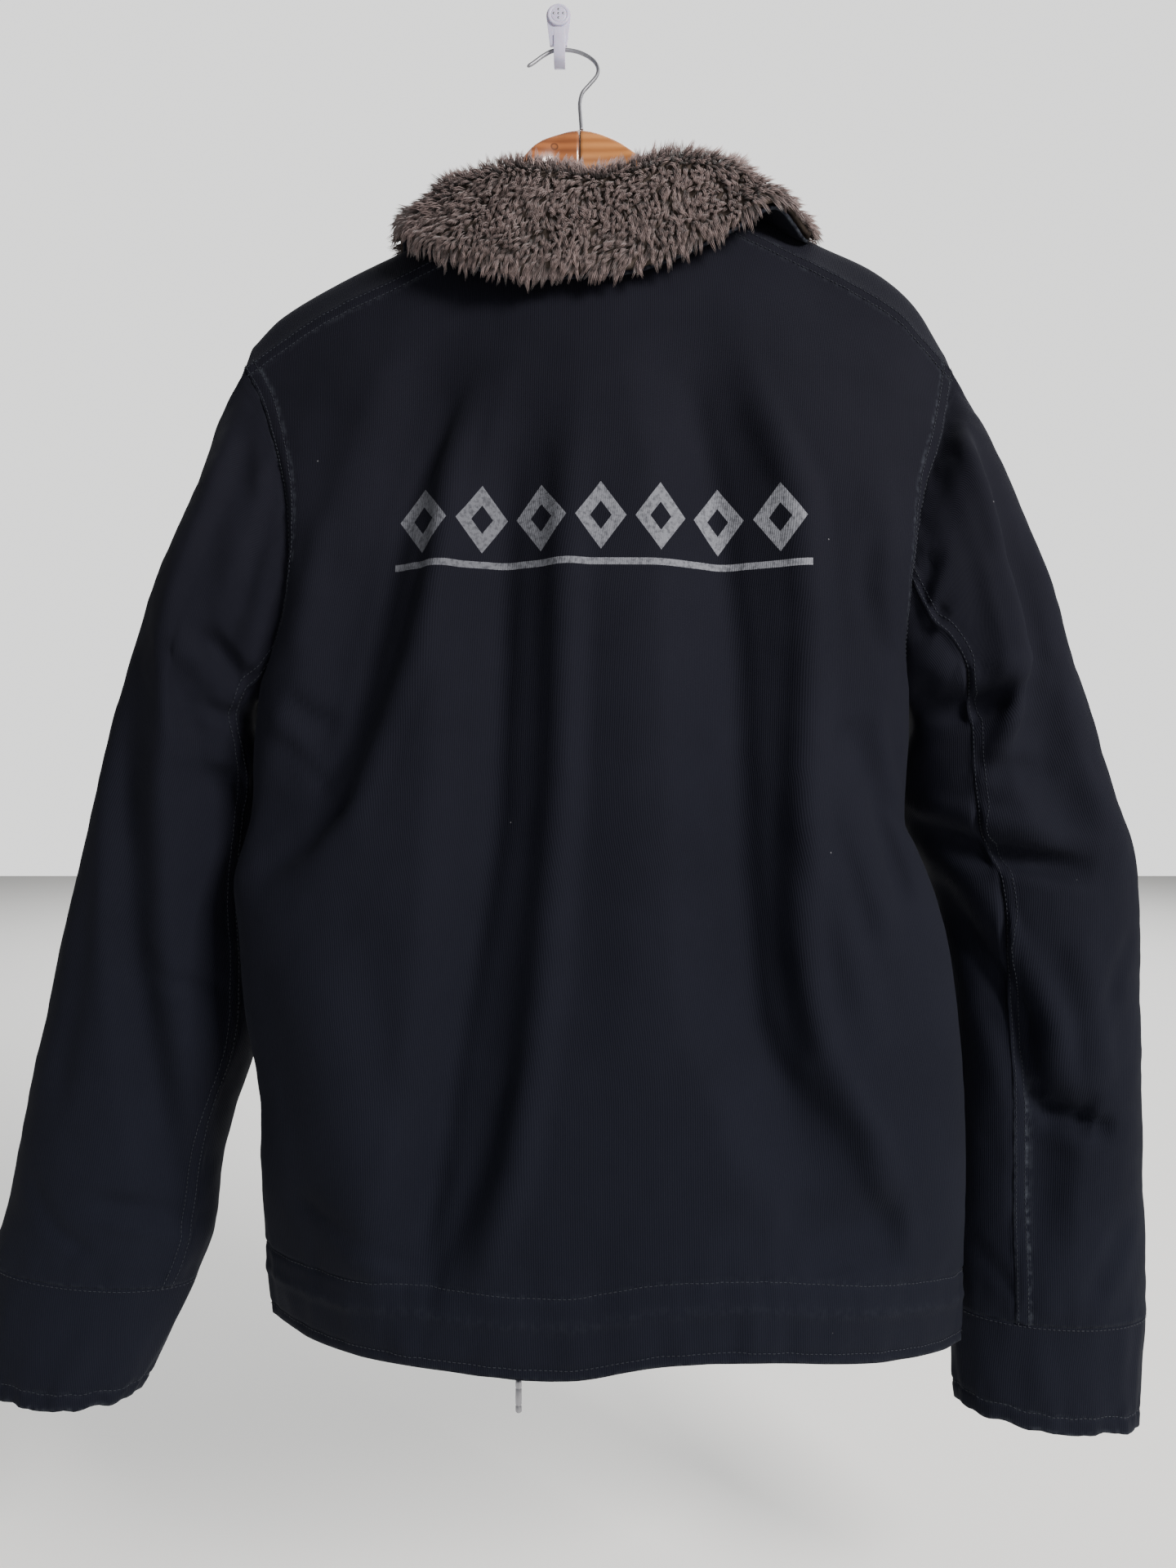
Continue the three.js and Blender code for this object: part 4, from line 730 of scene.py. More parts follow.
def navy_cloth(name, with_print=False):
    """Dark navy ribbed cotton: fine upright ribs, pale edges of wear and painted highlight, faded areas,
    specks of lint and painted sky light low down.
    """
    material, tree, shader = new_material(
        name, Roughness=0.85, Sheen_Weight=0.02, Sheen_Roughness=0.4, Sheen_Tint=(0.6, 0.65, 0.8, 1),
        Specular_IOR_Level=0.08)
    uv = add_node(tree, "ShaderNodeUVMap", uv_map="surface")
    place = add_node(tree, "ShaderNodeTexCoord").outputs["Object"]
    ribs = add_node(tree, "ShaderNodeTexWave", {
        "Vector": uv.outputs["UV"], "Scale": 230.0, "Distortion": 0.35, "Detail": 2.0, "Detail Scale": 1.2},
        bands_direction="X")
    weave = add_node(tree, "ShaderNodeTexNoise", {"Vector": place, "Scale": 1500.0, "Detail": 3.0})
    cloud = add_node(tree, "ShaderNodeTexNoise",
        {"Vector": place, "Scale": 9.0, "Detail": 5.0, "Roughness": 0.6})
    height = add_node(tree, "ShaderNodeSeparateXYZ", {0: place})
    # Painted sky light: the base colour turns bluer and a little brighter from z -0.35 m down to -0.85 m.
    painted_sky_light_low = add_node(tree, "ShaderNodeMapRange", {
        "Value": height.outputs["Z"], "From Min": -0.35, "From Max": -0.85, "To Min": 0.0, "To Max": 1.0})
    tone = add_node(tree, "ShaderNodeMix", {
        0: painted_sky_light_low.outputs[0], 6: (0.0046, 0.0046, 0.0082, 1),
        7: (0.0042, 0.0052, 0.0102, 1)}, data_type="RGBA")
    faded = add_node(tree, "ShaderNodeValToRGB", {"Fac": cloud.outputs["Fac"]})
    faded.color_ramp.elements[0].position = 0.3
    faded.color_ramp.elements[0].color = (0.78, 0.78, 0.8, 1)
    faded.color_ramp.elements[1].position = 0.75
    faded.color_ramp.elements[1].color = (1.35, 1.32, 1.25, 1)
    mottled = add_node(tree, "ShaderNodeMix", {0: 1.0, 6: tone.outputs[2], 7: faded.outputs["Color"]},
                       data_type="RGBA", blend_type="MULTIPLY")
    rib_share = math_node(tree, "MULTIPLY", ribs.outputs["Fac"], 0.5)
    ribbed = add_node(tree, "ShaderNodeMix", {
        0: rib_share.outputs[0], 6: mottled.outputs[2], 7: (0.0094, 0.0100, 0.0158, 1)}, data_type="RGBA")
    # The wear mark pales the colour: edge wear on every piece, and a painted highlight on the right sleeve's
    # seam.
    wear_and_highlight_value = add_node(tree, "ShaderNodeAttribute", attribute_name="wear_and_highlight")
    patchy = add_node(tree, "ShaderNodeTexNoise", {"Vector": place, "Scale": 260.0, "Detail": 4.0})
    patchy_share = add_node(tree, "ShaderNodeMapRange", {
        "Value": patchy.outputs["Fac"], "From Min": 0.4, "From Max": 0.68, "To Min": 0.0, "To Max": 0.6})
    wear_and_highlight_share = math_node(tree, "MULTIPLY", wear_and_highlight_value.outputs["Fac"], patchy_share.outputs[0])
    edged = add_node(tree, "ShaderNodeMix", {
        0: wear_and_highlight_share.outputs[0], 6: ribbed.outputs[2], 7: (0.055, 0.062, 0.075, 1)}, data_type="RGBA")
    colour = edged.outputs[2]
    if with_print:
        colour = stencilled_band(tree, place, colour)
    specks = add_node(tree, "ShaderNodeTexVoronoi", {"Vector": place, "Scale": 48.0, "Randomness": 1.0})
    lint_dots = math_node(tree, "LESS_THAN", specks.outputs["Distance"], 0.022)
    few = add_node(tree, "ShaderNodeSeparateColor", {0: specks.outputs["Color"]})
    chosen = math_node(tree, "GREATER_THAN", few.outputs[0], 0.8)
    lint = math_node(tree, "MULTIPLY", lint_dots.outputs[0], chosen.outputs[0])
    lint_share = math_node(tree, "MULTIPLY", lint.outputs[0], 0.6)
    linted = add_node(tree, "ShaderNodeMix", {0: lint_share.outputs[0], 6: colour, 7: (0.2, 0.2, 0.21, 1)},
                      data_type="RGBA")
    tree.links.new(linted.outputs[2], shader.inputs["Base Color"])
    rib_bump = add_node(tree, "ShaderNodeBump",
        {"Height": ribs.outputs["Fac"], "Strength": 0.35, "Distance": 0.0004})
    weave_bump = add_node(tree, "ShaderNodeBump", {
        "Height": weave.outputs["Fac"], "Strength": 0.25, "Distance": 0.0003,
        "Normal": rib_bump.outputs["Normal"]})
    tree.links.new(weave_bump.outputs["Normal"], shader.inputs["Normal"])
    return material


def stencilled_band(tree, place, colour):
    """A faded grey-blue band of plain diamonds over a thin bar, printed across the shoulders."""
    axes = add_node(tree, "ShaderNodeSeparateXYZ", {0: place})

    def sum_of(kind, first, second):
        return math_node(tree, kind, first, second).outputs[0]

    across = sum_of("DIVIDE", sum_of("SUBTRACT", axes.outputs["X"], PRINT_CENTRE[0]), PRINT_PITCH)
    above = sum_of("DIVIDE", sum_of("SUBTRACT", axes.outputs["Z"], PRINT_CENTRE[1]), PRINT_HEIGHT)
    cell = sum_of("SUBTRACT", sum_of("FRACT", sum_of("ADD", across, 0.5), 0.0), 0.5)
    reach = sum_of("ADD", sum_of("MULTIPLY", sum_of("ABSOLUTE", cell, 0.0), 2.35),
        sum_of("ABSOLUTE", above, 0.0))
    filled = sum_of("LESS_THAN", reach, 1.0)
    pierced = sum_of("GREATER_THAN", reach, 0.42)
    within = sum_of("LESS_THAN", sum_of("ABSOLUTE", across, 0.0), PRINT_REACH)
    diamonds = sum_of("MULTIPLY", filled, pierced)
    bar = sum_of("LESS_THAN", sum_of("ABSOLUTE", sum_of("ADD", above, 1.35), 0.0), 0.1)
    shape = sum_of("MULTIPLY", sum_of("MAXIMUM", diamonds, bar), within)
    rough = add_node(tree, "ShaderNodeTexNoise", {"Vector": place, "Scale": 420.0, "Detail": 5.0})
    cracked = add_node(tree, "ShaderNodeMapRange", {
        "Value": rough.outputs["Fac"], "From Min": 0.33, "From Max": 0.55, "To Min": 0.45, "To Max": 0.9})
    faded = add_node(tree, "ShaderNodeMapRange", {
        "Value": across, "From Min": -PRINT_REACH, "From Max": PRINT_REACH,
        "To Min": PRINT_FADED, "To Max": 1.0})
    share = sum_of("MULTIPLY", sum_of("MULTIPLY", shape, cracked.outputs[0]), faded.outputs[0])
    printed = add_node(tree, "ShaderNodeMix", {0: share, 6: colour, 7: PRINT_COLOUR}, data_type="RGBA")
    return printed.outputs[2]


cloth = navy_cloth("navy_ribbed_cotton")
printed_cloth = navy_cloth("navy_ribbed_cotton_printed", with_print=True)
stitch_lines = []


def cloth_piece(name, grids, material, nodes, turned=False, thickness=CLOTH_THICKNESS):
    """A thin shell of cloth from grids of points, UVs in metres and marks of wear and painted highlight."""
    points, uvs, wear_and_highlight, faces = [], [], [], []
    start = 0
    for grid, uv, wear_and_highlight_value in grids:
        rows, columns = grid.shape[:2]
        faces += [tuple(face) for face in grid_faces(rows, columns, start, turned)]
        start += rows * columns
        points.append(grid.reshape(-1, 3))
        uvs.append(uv.reshape(-1, 2))
        wear_and_highlight.append(np.ravel(wear_and_highlight_value))
    piece = make_piece(name, np.concatenate(points), faces, [material], np.concatenate(uvs),
                       {"wear_and_highlight": np.concatenate(wear_and_highlight)}, merge=1e-6)
    shell = piece.modifiers.new("cloth_thickness", "SOLIDIFY")
    shell.thickness = thickness
    shell.offset = -1
    finish_piece(piece, "cloth", *nodes)
    return piece


def side_edge(seam, armhole, v):
    """A panel's side line: up the side seam, then up the armhole."""
    low = smooth(np.array(seam, float) * MILLIMETRE)(np.clip(v / SIDE_SHARE, 0, 1))
    high = smooth(np.array(armhole, float) * MILLIMETRE)(np.clip(1 - (v - SIDE_SHARE) / (1 - SIDE_SHARE), 0,
        1))
    return np.where((v <= SIDE_SHARE)[:, None], low, high)


back_u = shares((0.028, 11), (1 / 3, 32), (2 / 3, 32), (0.972, 32), (1, 11))
back_v = shares((0.09, 34), (0.975, 120), (1, 9))
back_top = np.where(
    (back_u <= 1 / 3)[:, None], line(SHOULDER_SEAM["left"], places=np.clip(back_u * 3, 0, 1)),
    np.where((back_u < 2 / 3)[:, None], line(BACK_NECK, places=np.clip(back_u * 3 - 1, 0, 1)),
             line(SHOULDER_SEAM["right"], places=np.clip(3 - back_u * 3, 0, 1))))
back_sides = [side_edge(SIDE_SEAM[side], BACK_ARMHOLE[side], back_v) for side in ("left", "right")]
back_grid = panel_grid(
    back_u, back_v, back_sides, back_top, line(BACK_HEM, places=back_u),
    round_section(2 * np.minimum(back_u, 1 - back_u)), BACK_DEPTH, BACK_FOLDS, 1)
across = arc_lengths(back_grid, 1)
from_hem = arc_lengths(back_grid, 0)
from_top = from_hem[-1] - from_hem
from_side = np.minimum(across, across[:, -1:] - across)
crease_fade = ease(from_side / 0.03) * ease(from_top / 0.05) * ease(from_hem / 0.06)
back_out = surface_normals(back_grid)
back_rise = -fold_depth(BACK_CREASES, back_grid[..., 0], back_grid[..., 2]) * crease_fade
back_rise = back_rise + 0.0012 * ripple(back_grid * (1, 1, 0.55), 22, 3) * ease(from_side / 0.03)
back_rise = back_rise + 0.0004 * ripple(back_grid, 75, 5) * ease(from_side / 0.012)
in_armhole = ease((back_v - SIDE_SHARE + 0.01) / 0.02)[:, None]
armhole_rise, armhole_wear = felled(from_side, from_hem, 1)
top_rise, top_wear = felled(from_top, across, 2)
on_shoulder = ease((np.abs(back_u - 0.5) - 1 / 6) / 0.02)[None, :]
ridge_share = np.clip(armhole_rise * in_armhole, -1, 1)
back_rise = back_rise + np.maximum(ridge_share,
    top_rise * on_shoulder * ease((SEAM_WIDTH * 1.3 - from_top) / 0.002))
low_pull = bell(from_hem - CHANNEL_LOW_STITCH, 0.0016)
high_pull = bell(from_hem - CHANNEL_HIGH_STITCH, 0.0018)
cord_bulge = bell(from_hem - CORD_RIDGE, 0.004)
gathers = ripple(back_grid * (1, 1, 0.16), 95, 9) * ease(from_hem / 0.006) * ease((0.085 - from_hem) / 0.045)
gathers = gathers * (0.55 + 0.9 * bell(back_grid[..., 0] + 0.073, 0.03)
                     + 0.9 * bell(back_grid[..., 0] - 0.118, 0.03))
back_rise = back_rise - 0.0009 * low_pull - 0.0012 * high_pull + 0.0011 * cord_bulge + 0.0022 * gathers
back_wear = (0.7 * armhole_wear * in_armhole + 0.3 * top_wear * on_shoulder
             + 0.5 * bell(from_hem, 0.0015))
back_wear = back_wear + 0.12 * high_pull + 0.1 * cord_bulge
back_grid = back_grid + back_out * back_rise[..., None]
back_out = surface_normals(back_grid)
back_uv = np.stack([across - across[:, [len(back_u) // 2]], from_hem], -1)
cloth_piece("back_cloth", [(back_grid, back_uv, back_wear)], printed_cloth, ["back_panel"])

armhole_rows = back_v >= SIDE_SHARE - 0.002
for side in ("left", "right"):
    for distance in SEAM_STITCH_ROWS:
        stitch_lines.append(inset_line(back_grid[armhole_rows], back_out[armhole_rows], side, distance))
shoulder_columns = {"left": back_u <= 1 / 3, "right": back_u >= 2 / 3}
for columns in shoulder_columns.values():
    for distance in SEAM_STITCH_ROWS:
        stitch_lines.append(inset_line(back_grid[:, columns], back_out[:, columns], "top", distance))
for distance in (CHANNEL_LOW_STITCH, CHANNEL_HIGH_STITCH):
    stitch_lines.append(inset_line(back_grid, back_out, "bottom", distance))

# Fronts
# Two fronts of the same cloth. Each wraps over the shoulder to a double-stitched seam on the back, and
# its hem is turned up into the cord channel. They meet in the middle under the wind flap.
SHOULDER_SHARE = 10 / 14
FRONT_HEM_HEIGHT = -0.897
OVER_TIP = {
    "left": [(-204, -82, -274), (-202, -62, -252), (-198, -42, -272)],
    "right": [(260, -82, -276), (258, -62, -256), (254, -42, -274)],
}
FRONT_ARMHOLE = {
    "left": [
        (-198, -42, -272), (-186, -30, -325), (-174, -26, -375), (-170, -30, -420), (-178, -52, -462),
        (-189, -92, -486),
    ],
    "right": [
        (254, -42, -274), (242, -30, -325), (230, -26, -375), (222, -30, -420), (214, -52, -462),
        (227, -92, -486),
    ],
}
SHOULDER_RIDGE = {
    "left": [(-202, -62, -252), (-184, -62, -233), (-143, -61, -208), (-98, -61, -186), (-58, -60, -166)],
    "right": [(258, -62, -256), (240, -62, -225), (213, -62, -202), (178, -61, -185), (114, -60, -154)],
}
SHOULDER_FRONT = {
    "left": [(-198, -42, -272), (-180, -42, -250), (-140, -42, -226), (-98, -43, -204), (-54, -45, -184)],
    "right": [(254, -42, -274), (235, -42, -244), (210, -42, -221), (172, -43, -202), (110, -45, -172)],
}
FRONT_NECK = {
    "left": [(-54, -45, -184), (-38, -45, -214), (-8, -43, -240), (33, -42, -251)],
    "right": [(110, -45, -172), (97, -45, -206), (70, -43, -238), (33, -42, -251)],
}
FRONT_DEPTH = [(-160, -44), (-260, -41), (-330, -36), (-400, -27), (-500, -19), (-650, -17), (-910, -17)]
FRONT_FOLDS = [
    (-9, 45, [(-92, -380), (-100, -520), (-92, -700)]),
    (-9, 45, [(150, -380), (158, -540), (150, -720)]),
]
FRONT_CREASES = {
    "left": [
        (4, 20, [(-150, -420), (-110, -520), (-120, -640)]),
        (3, 14, [(-160, -480), (-130, -500), (-100, -505)]),
        (3, 16, [(-60, -560), (-70, -680), (-50, -800)]),
        (2.5, 12, [(-150, -700), (-110, -760), (-90, -840)]),
    ],
    "right": [
        (4, 20, [(205, -420), (175, -520), (190, -640)]), (3, 14, [(212, -480), (185, -500), (160, -505)]),
        (3, 16, [(120, -560), (130, -690), (112, -800)]), (2.5, 12, [(230, -690), (190, -760), (170, -840)]),
    ],
}
EYELET_PLACE = (-0.028, -0.872)
EYELET_PROFILE = [
    (0.0022, 0), (0.006, 0), (0.006, 0.0004), (0.0056, 0.0009), (0.0046, 0.0013), (0.0034, 0.0012),
    (0.0026, 0.0008), (0.0022, 0.0002), (0.0022, 0),
]

front_u = shares((0.04, 8), (SHOULDER_SHARE, 34), (0.96, 16), (1, 6))
front_v = shares((0.09, 24), (0.975, 100), (1, 6))
front_grids = {}
for side in ("left", "right"):
    rise = side_edge(SIDE_SEAM[side], FRONT_ARMHOLE[side], front_v)
    top = np.where(
        (front_u <= SHOULDER_SHARE)[:, None],
        line(SHOULDER_FRONT[side], places=np.clip(front_u / SHOULDER_SHARE, 0, 1)),
        line(FRONT_NECK[side], places=np.clip((front_u - SHOULDER_SHARE) / (1 - SHOULDER_SHARE), 0, 1)))
    edge = np.array(SIDE_SEAM[side][0]) * MILLIMETRE
    foot_depth = FRONT_DEPTH[-1][1] * MILLIMETRE
    hem = np.stack([
        lerp(edge[0], CENTRE_X, front_u), lerp(edge[1], foot_depth, round_section(front_u)),
        lerp(edge[2], FRONT_HEM_HEIGHT, front_u)], -1)
    centre = lerp(hem[-1], top[-1], front_v[:, None])
    centre[:, 1] = depth_at(FRONT_DEPTH, centre[:, 2])
    front_grid = panel_grid(
        front_u, front_v, (rise, centre), top, hem, round_section(front_u), FRONT_DEPTH, FRONT_FOLDS, -1)
    front_grids[side] = front_grid
    outwards = surface_normals(front_grid) * (-1 if side == "left" else 1)
    from_seam = arc_lengths(front_grid, 1)
    from_hem = arc_lengths(front_grid, 0)
    from_neck = from_hem[-1] - from_hem
    from_middle = np.abs(front_grid[..., 0] - CENTRE_X)
    fade = ease(from_seam / 0.03) * ease(from_neck / 0.05) * ease(from_hem / 0.06)
    fade = fade * ease((from_middle - 0.035) / 0.03)
    lift = -fold_depth(FRONT_CREASES[side], front_grid[..., 0], front_grid[..., 2]) * fade
    lift = lift + 0.001 * ripple(front_grid, 24, 11) * fade
    low_pull = bell(from_hem - CHANNEL_LOW_STITCH, 0.0016)
    high_pull = bell(from_hem - CHANNEL_HIGH_STITCH, 0.0018)
    flat_middle = ease((from_middle - 0.035) / 0.02)
    gathers = ripple(front_grid * (1, 1, 0.16), 95,
        13) * ease(from_hem / 0.006) * ease((0.085 - from_hem) / 0.045)
    lift = lift + (0.0016 * gathers - 0.0008 * low_pull - 0.001 * high_pull) * flat_middle
    front_grid = front_grid + outwards * lift[..., None]
    outwards = surface_normals(front_grid) * (-1 if side == "left" else 1)
    wear_and_highlight = 0.8 * bell(from_hem, 0.0015) + 0.3 * high_pull
    front_uv = np.stack([front_grid[..., 0], from_hem], -1)

    over_places = np.clip(front_u[front_u <= SHOULDER_SHARE + 1e-9] / SHOULDER_SHARE, 0, 1)
    edges = [line(table[side], places=over_places) for table in (SHOULDER_FRONT, SHOULDER_RIDGE,
        SHOULDER_SEAM)]
    over_steps = shares((0.9, 16), (1, 4))
    strip = np.stack([smooth([a, b, c])(over_steps) for a, b, c in zip(*edges)], 1)
    strip[:, 0] = line(OVER_TIP[side], places=1 - over_steps)
    over_uv = np.stack([strip[..., 0], from_hem[-1, : strip.shape[1]] + arc_lengths(strip, 0)], -1)
    over_wear = 0.4 * bell(arc_lengths(strip, 0)[-1] - arc_lengths(strip, 0), 0.0012)
    cloth_piece(
        f"front_cloth_{side}", [(front_grid, front_uv, wear_and_highlight), (strip, over_uv, over_wear)], cloth,
        [f"front_{side}"], turned=side == "left")
    for distance in (CHANNEL_LOW_STITCH, CHANNEL_HIGH_STITCH):
        stitch_lines.append(inset_line(front_grid, outwards, "bottom", distance))
    if side == "left":
        gap = np.hypot(front_grid[..., 0] - EYELET_PLACE[0], front_grid[..., 2] - EYELET_PLACE[1])
        seat = np.unravel_index(gap.argmin(), gap.shape)
        seat_height = front_grid[seat][1] + 0.0001
        eyelet_axis = tuple(outwards[seat])
eyelet = grid_piece(
    "cord_eyelet_ring",
    turned_grid(EYELET_PROFILE, 32, (EYELET_PLACE[0], seat_height, EYELET_PLACE[1]),
        eyelet_axis), [steel_material])
finish_piece(eyelet, "steel", "cord_eyelet")

# Sleeves and cuffs
# Two-piece sleeves with a felled seam, cut roomy at the elbow, set into the armholes under two rows of
# stitches. Each ends in a cuff, a folded band that is stitched near its bottom edge.
ROUND_COLUMNS = 24
TIP_COLUMN = 20
CUFF_SECTION = 14
LAST_SECTION = 16
SEAM_COLUMNS = {"left": (10, 18), "right": (8, 18)}
SLEEVE_SECTIONS = {
    # outer point, inner point, swell to the back, swell to the front, bow towards the body
    "left": [
        ((-224, -82, -316), (-199, -90, -490), 43, 58, 20), ((-236, -82, -354), (-204, -87, -497), 46, 60,
            10),
        ((-248, -82, -386), (-207, -83, -506), 47, 58, 4), ((-262, -82, -423), (-206, -79, -517), 47, 55, 0),
        ((-277, -80, -469), (-203, -73, -531), 46, 51, 0), ((-290, -78, -514), (-201, -64, -551), 48, 47, 0),
        ((-303, -76, -560), (-203, -55, -588), 49, 43, 0), ((-314, -74, -604), (-204, -51, -626), 48, 40, 0),
        ((-326, -72, -650), (-201, -50, -670), 47, 39, 0), ((-338, -70, -702), (-203, -50, -716), 46, 38, 0),
        ((-349, -68, -751), (-219, -50, -766), 44, 37, 0), ((-359, -66, -796), (-228, -50, -806), 42, 36, 0),
        ((-369, -64, -837), (-235, -52, -853), 39, 35, 0), ((-379, -62, -863), (-245, -54, -881), 36, 34, 0),
        ((-383, -62, -904), (-260, -56, -914), 35, 33, 0), ((-381, -62, -948), (-282, -58, -956), 33, 32, 0),
    ],
    "right": [
        ((276, -82, -303), (237, -90, -490), 43, 58, -14), ((290, -82, -333), (242, -87, -497), 46, 60, -8),
        ((305, -82, -371), (245, -83, -506), 47, 58, -3), ((321, -82, -415), (244, -79, -517), 47, 55, 0),
        ((338, -80, -463), (241, -73, -531), 46, 51, 0), ((354, -78, -512), (239, -64, -550), 48, 47, 0),
        ((368, -76, -555), (242, -55, -576), 49, 43, 0), ((382, -74, -595), (254, -51, -608), 48, 40, 0),
        ((385, -72, -639), (261, -50, -647), 47, 39, 0), ((386, -70, -688), (266, -50, -693), 46, 38, 0),
        ((388, -68, -738), (268, -50, -741), 44, 37, 0), ((390, -66, -787), (268, -50, -790), 42, 36, 0),
        ((392, -64, -837), (268, -52, -838), 39, 35, 0), ((395, -62, -899), (269, -54, -898), 36, 34, 0),
        ((392, -62, -932), (269, -56, -929), 35, 33, 0), ((391, -62, -973), (270, -58, -962), 33, 32, 0),
    ],
}
SLEEVE_FOLDS = {
    "left": [
        (-9, 26, [(-216, -315), (-233, -395), (-249, -510), (-250, -640), (-236, -775), (-226, -850)]),
        (12, 26, [(-252, -450), (-267, -545), (-266, -650), (-252, -770), (-240, -850)]),
        (9, 22, [(-188, -305), (-183, -370), (-203, -440), (-226, -500)]),
        (8, 16, [(-222, -540), (-205, -550), (-192, -540)]),
    ],
    "right": [
        (-8, 24, [(256, -318), (262, -358), (281, -424), (291, -480), (282, -535)]),
        (11, 26, [(280, -380), (300, -455), (312, -540), (340, -590)]),
        (11, 20, [(222, -488), (248, -500), (288, -486)]),
        (10, 20, [(226, -570), (262, -582), (345, -600)]),
        (9, 24, [(246, -608), (285, -665), (310, -735), (316, -790), (312, -850)]),
        (8, 22, [(318, -755), (345, -762)]),
    ],
}
SLEEVE_CREASES = {
    "left": [
        (3, 8, [(-250, -672), (-234, -674), (-216, -681)]),
        (3, 8, [(-236, -795), (-225, -800), (-210, -806)]),
        (4, 12, [(-300, -813), (-268, -823), (-247, -836), (-217, -841)]),
        (-3, 10, [(-290, -828), (-262, -838), (-238, -850)]),
        (3.5, 9, [(-222, -498), (-206, -504), (-190, -501)]),
        (3.5, 10, [(-224, -538), (-206, -545), (-190, -548)]),
        (5, 11, [(-218, -452), (-198, -478), (-180, -486)]),
        (-4, 12, [(-226, -462), (-208, -490), (-190, -497)]),
        (3, 14, [(-300, -600), (-306, -680), (-322, -760)]),
        (2.5, 12, [(-262, -330), (-280, -400), (-296, -470)]),
        (2.5, 9, [(-340, -800), (-320, -835), (-300, -850)]),
        (6, 13, [(-198, -325), (-203, -364), (-218, -414), (-236, -465), (-226, -520)]),
        (-5, 12, [(-181, -335), (-183, -364), (-198, -414), (-212, -455)]),
    ],
    "right": [
        (6, 10, [(241, -603), (259, -619), (277, -655), (293, -681), (302, -697), (305, -722), (311, -743)]),
        (-5, 14, [(256, -598), (275, -618), (293, -650), (309, -680), (318, -700), (321, -725),
                   (326, -745)]),
        (7, 10, [(308, -740), (318, -757), (344, -765), (360, -770)]),
        (5, 12, [(228, -478), (236, -496), (252, -501), (270, -498), (290, -488)]),
        (-5, 14, [(232, -466), (246, -482), (266, -482), (290, -470)]),
        (5, 12, [(225, -572), (243, -576), (258, -583), (274, -592), (300, -594), (346, -604)]),
        (-5, 14, [(232, -560), (262, -568), (300, -580), (340, -590)]),
        (4, 10, [(236, -404), (228, -420), (223, -446)]), (3.5, 8, [(243, -436), (234, -446), (228, -456)]),
        (3, 12, [(346, -880), (358, -856), (371, -826)]), (2.5, 8, [(262, -842), (276, -852), (300, -878)]),
        (-3, 16, [(330, -640), (345, -690), (350, -740)]), (3, 12, [(262, -530), (284, -540), (306, -536)]),
        (2.5, 9, [(372, -640), (360, -662), (352, -690)]),
        (-4.5, 9,
            [(255, -317), (261, -350), (274, -401), (284, -438), (291, -469), (287, -499), (270, -543)]),
        (4.5, 11,
            [(267, -322), (273, -352), (285, -400), (296, -436), (303, -467), (299, -505), (284, -545)]),
    ],
}
CUFF_STITCH = 0.011


def armhole_ring(side, turns):
    """Points of the armhole at shares of a turn: down the back, up the front, over the shoulder tip."""
    tip_turn = TIP_COLUMN / ROUND_COLUMNS
    turns = np.mod(turns, 1.0)[:, None]
    down_back = line(BACK_ARMHOLE[side], places=np.clip(turns[:, 0] * 2, 0, 1))
    up_front = line(FRONT_ARMHOLE[side], places=np.clip(1 - (turns[:, 0] - 0.5) / (tip_turn - 0.5), 0, 1))
    over_tip = line(OVER_TIP[side], places=np.clip(1 - (turns[:, 0] - tip_turn) / (1 - tip_turn), 0, 1))
    return np.where(turns <= 0.5, down_back, np.where(turns <= tip_turn, up_front, over_tip))


# How far the sleeves swell to the body under the armpit, around what height and how far from it
SIDE_SWELL = {"left": 0.0105, "right": 0.012}
SIDE_SWELL_PLACE = -0.52
SIDE_SWELL_REACH = 0.062


def sleeve_surface(side, turns, sections):
    """Points of a sleeve at shares of a turn from its outer edge and at numbered sections."""
    angle = 2 * np.pi * np.asarray(turns)
    rings = [armhole_ring(side, np.asarray(turns))]
    for outer, inner, back, front, bow in SLEEVE_SECTIONS[side]:
        swell = np.sin(angle)
        ring = lerp(np.array(inner, float), np.array(outer, float), (0.5 + 0.5 * np.cos(angle))[:, None])
        ring[:, 0] += bow * np.abs(swell)
        ring[:, 1] -= np.where(swell > 0, back, front) * swell
        rings.append(ring * MILLIMETRE)
    grid = smooth(rings, np.arange(len(rings)))(sections)
    clear = (ease(sections) * ease(CUFF_SECTION - sections))[:, None]
    facing = np.maximum(np.sin(angle), 0)
    grid[..., 1] += fold_depth(SLEEVE_FOLDS[side], grid[..., 0], grid[..., 2]) * facing * clear
    inner_side = ease(1 - 4 * np.abs(np.asarray(turns) % 1 - 0.5))
    at_side_seam = bell(grid[..., 2] - SIDE_SWELL_PLACE, SIDE_SWELL_REACH)
    grid[..., 0] -= np.sign(grid[..., 0]) * SIDE_SWELL[side] * inner_side * at_side_seam
    return grid


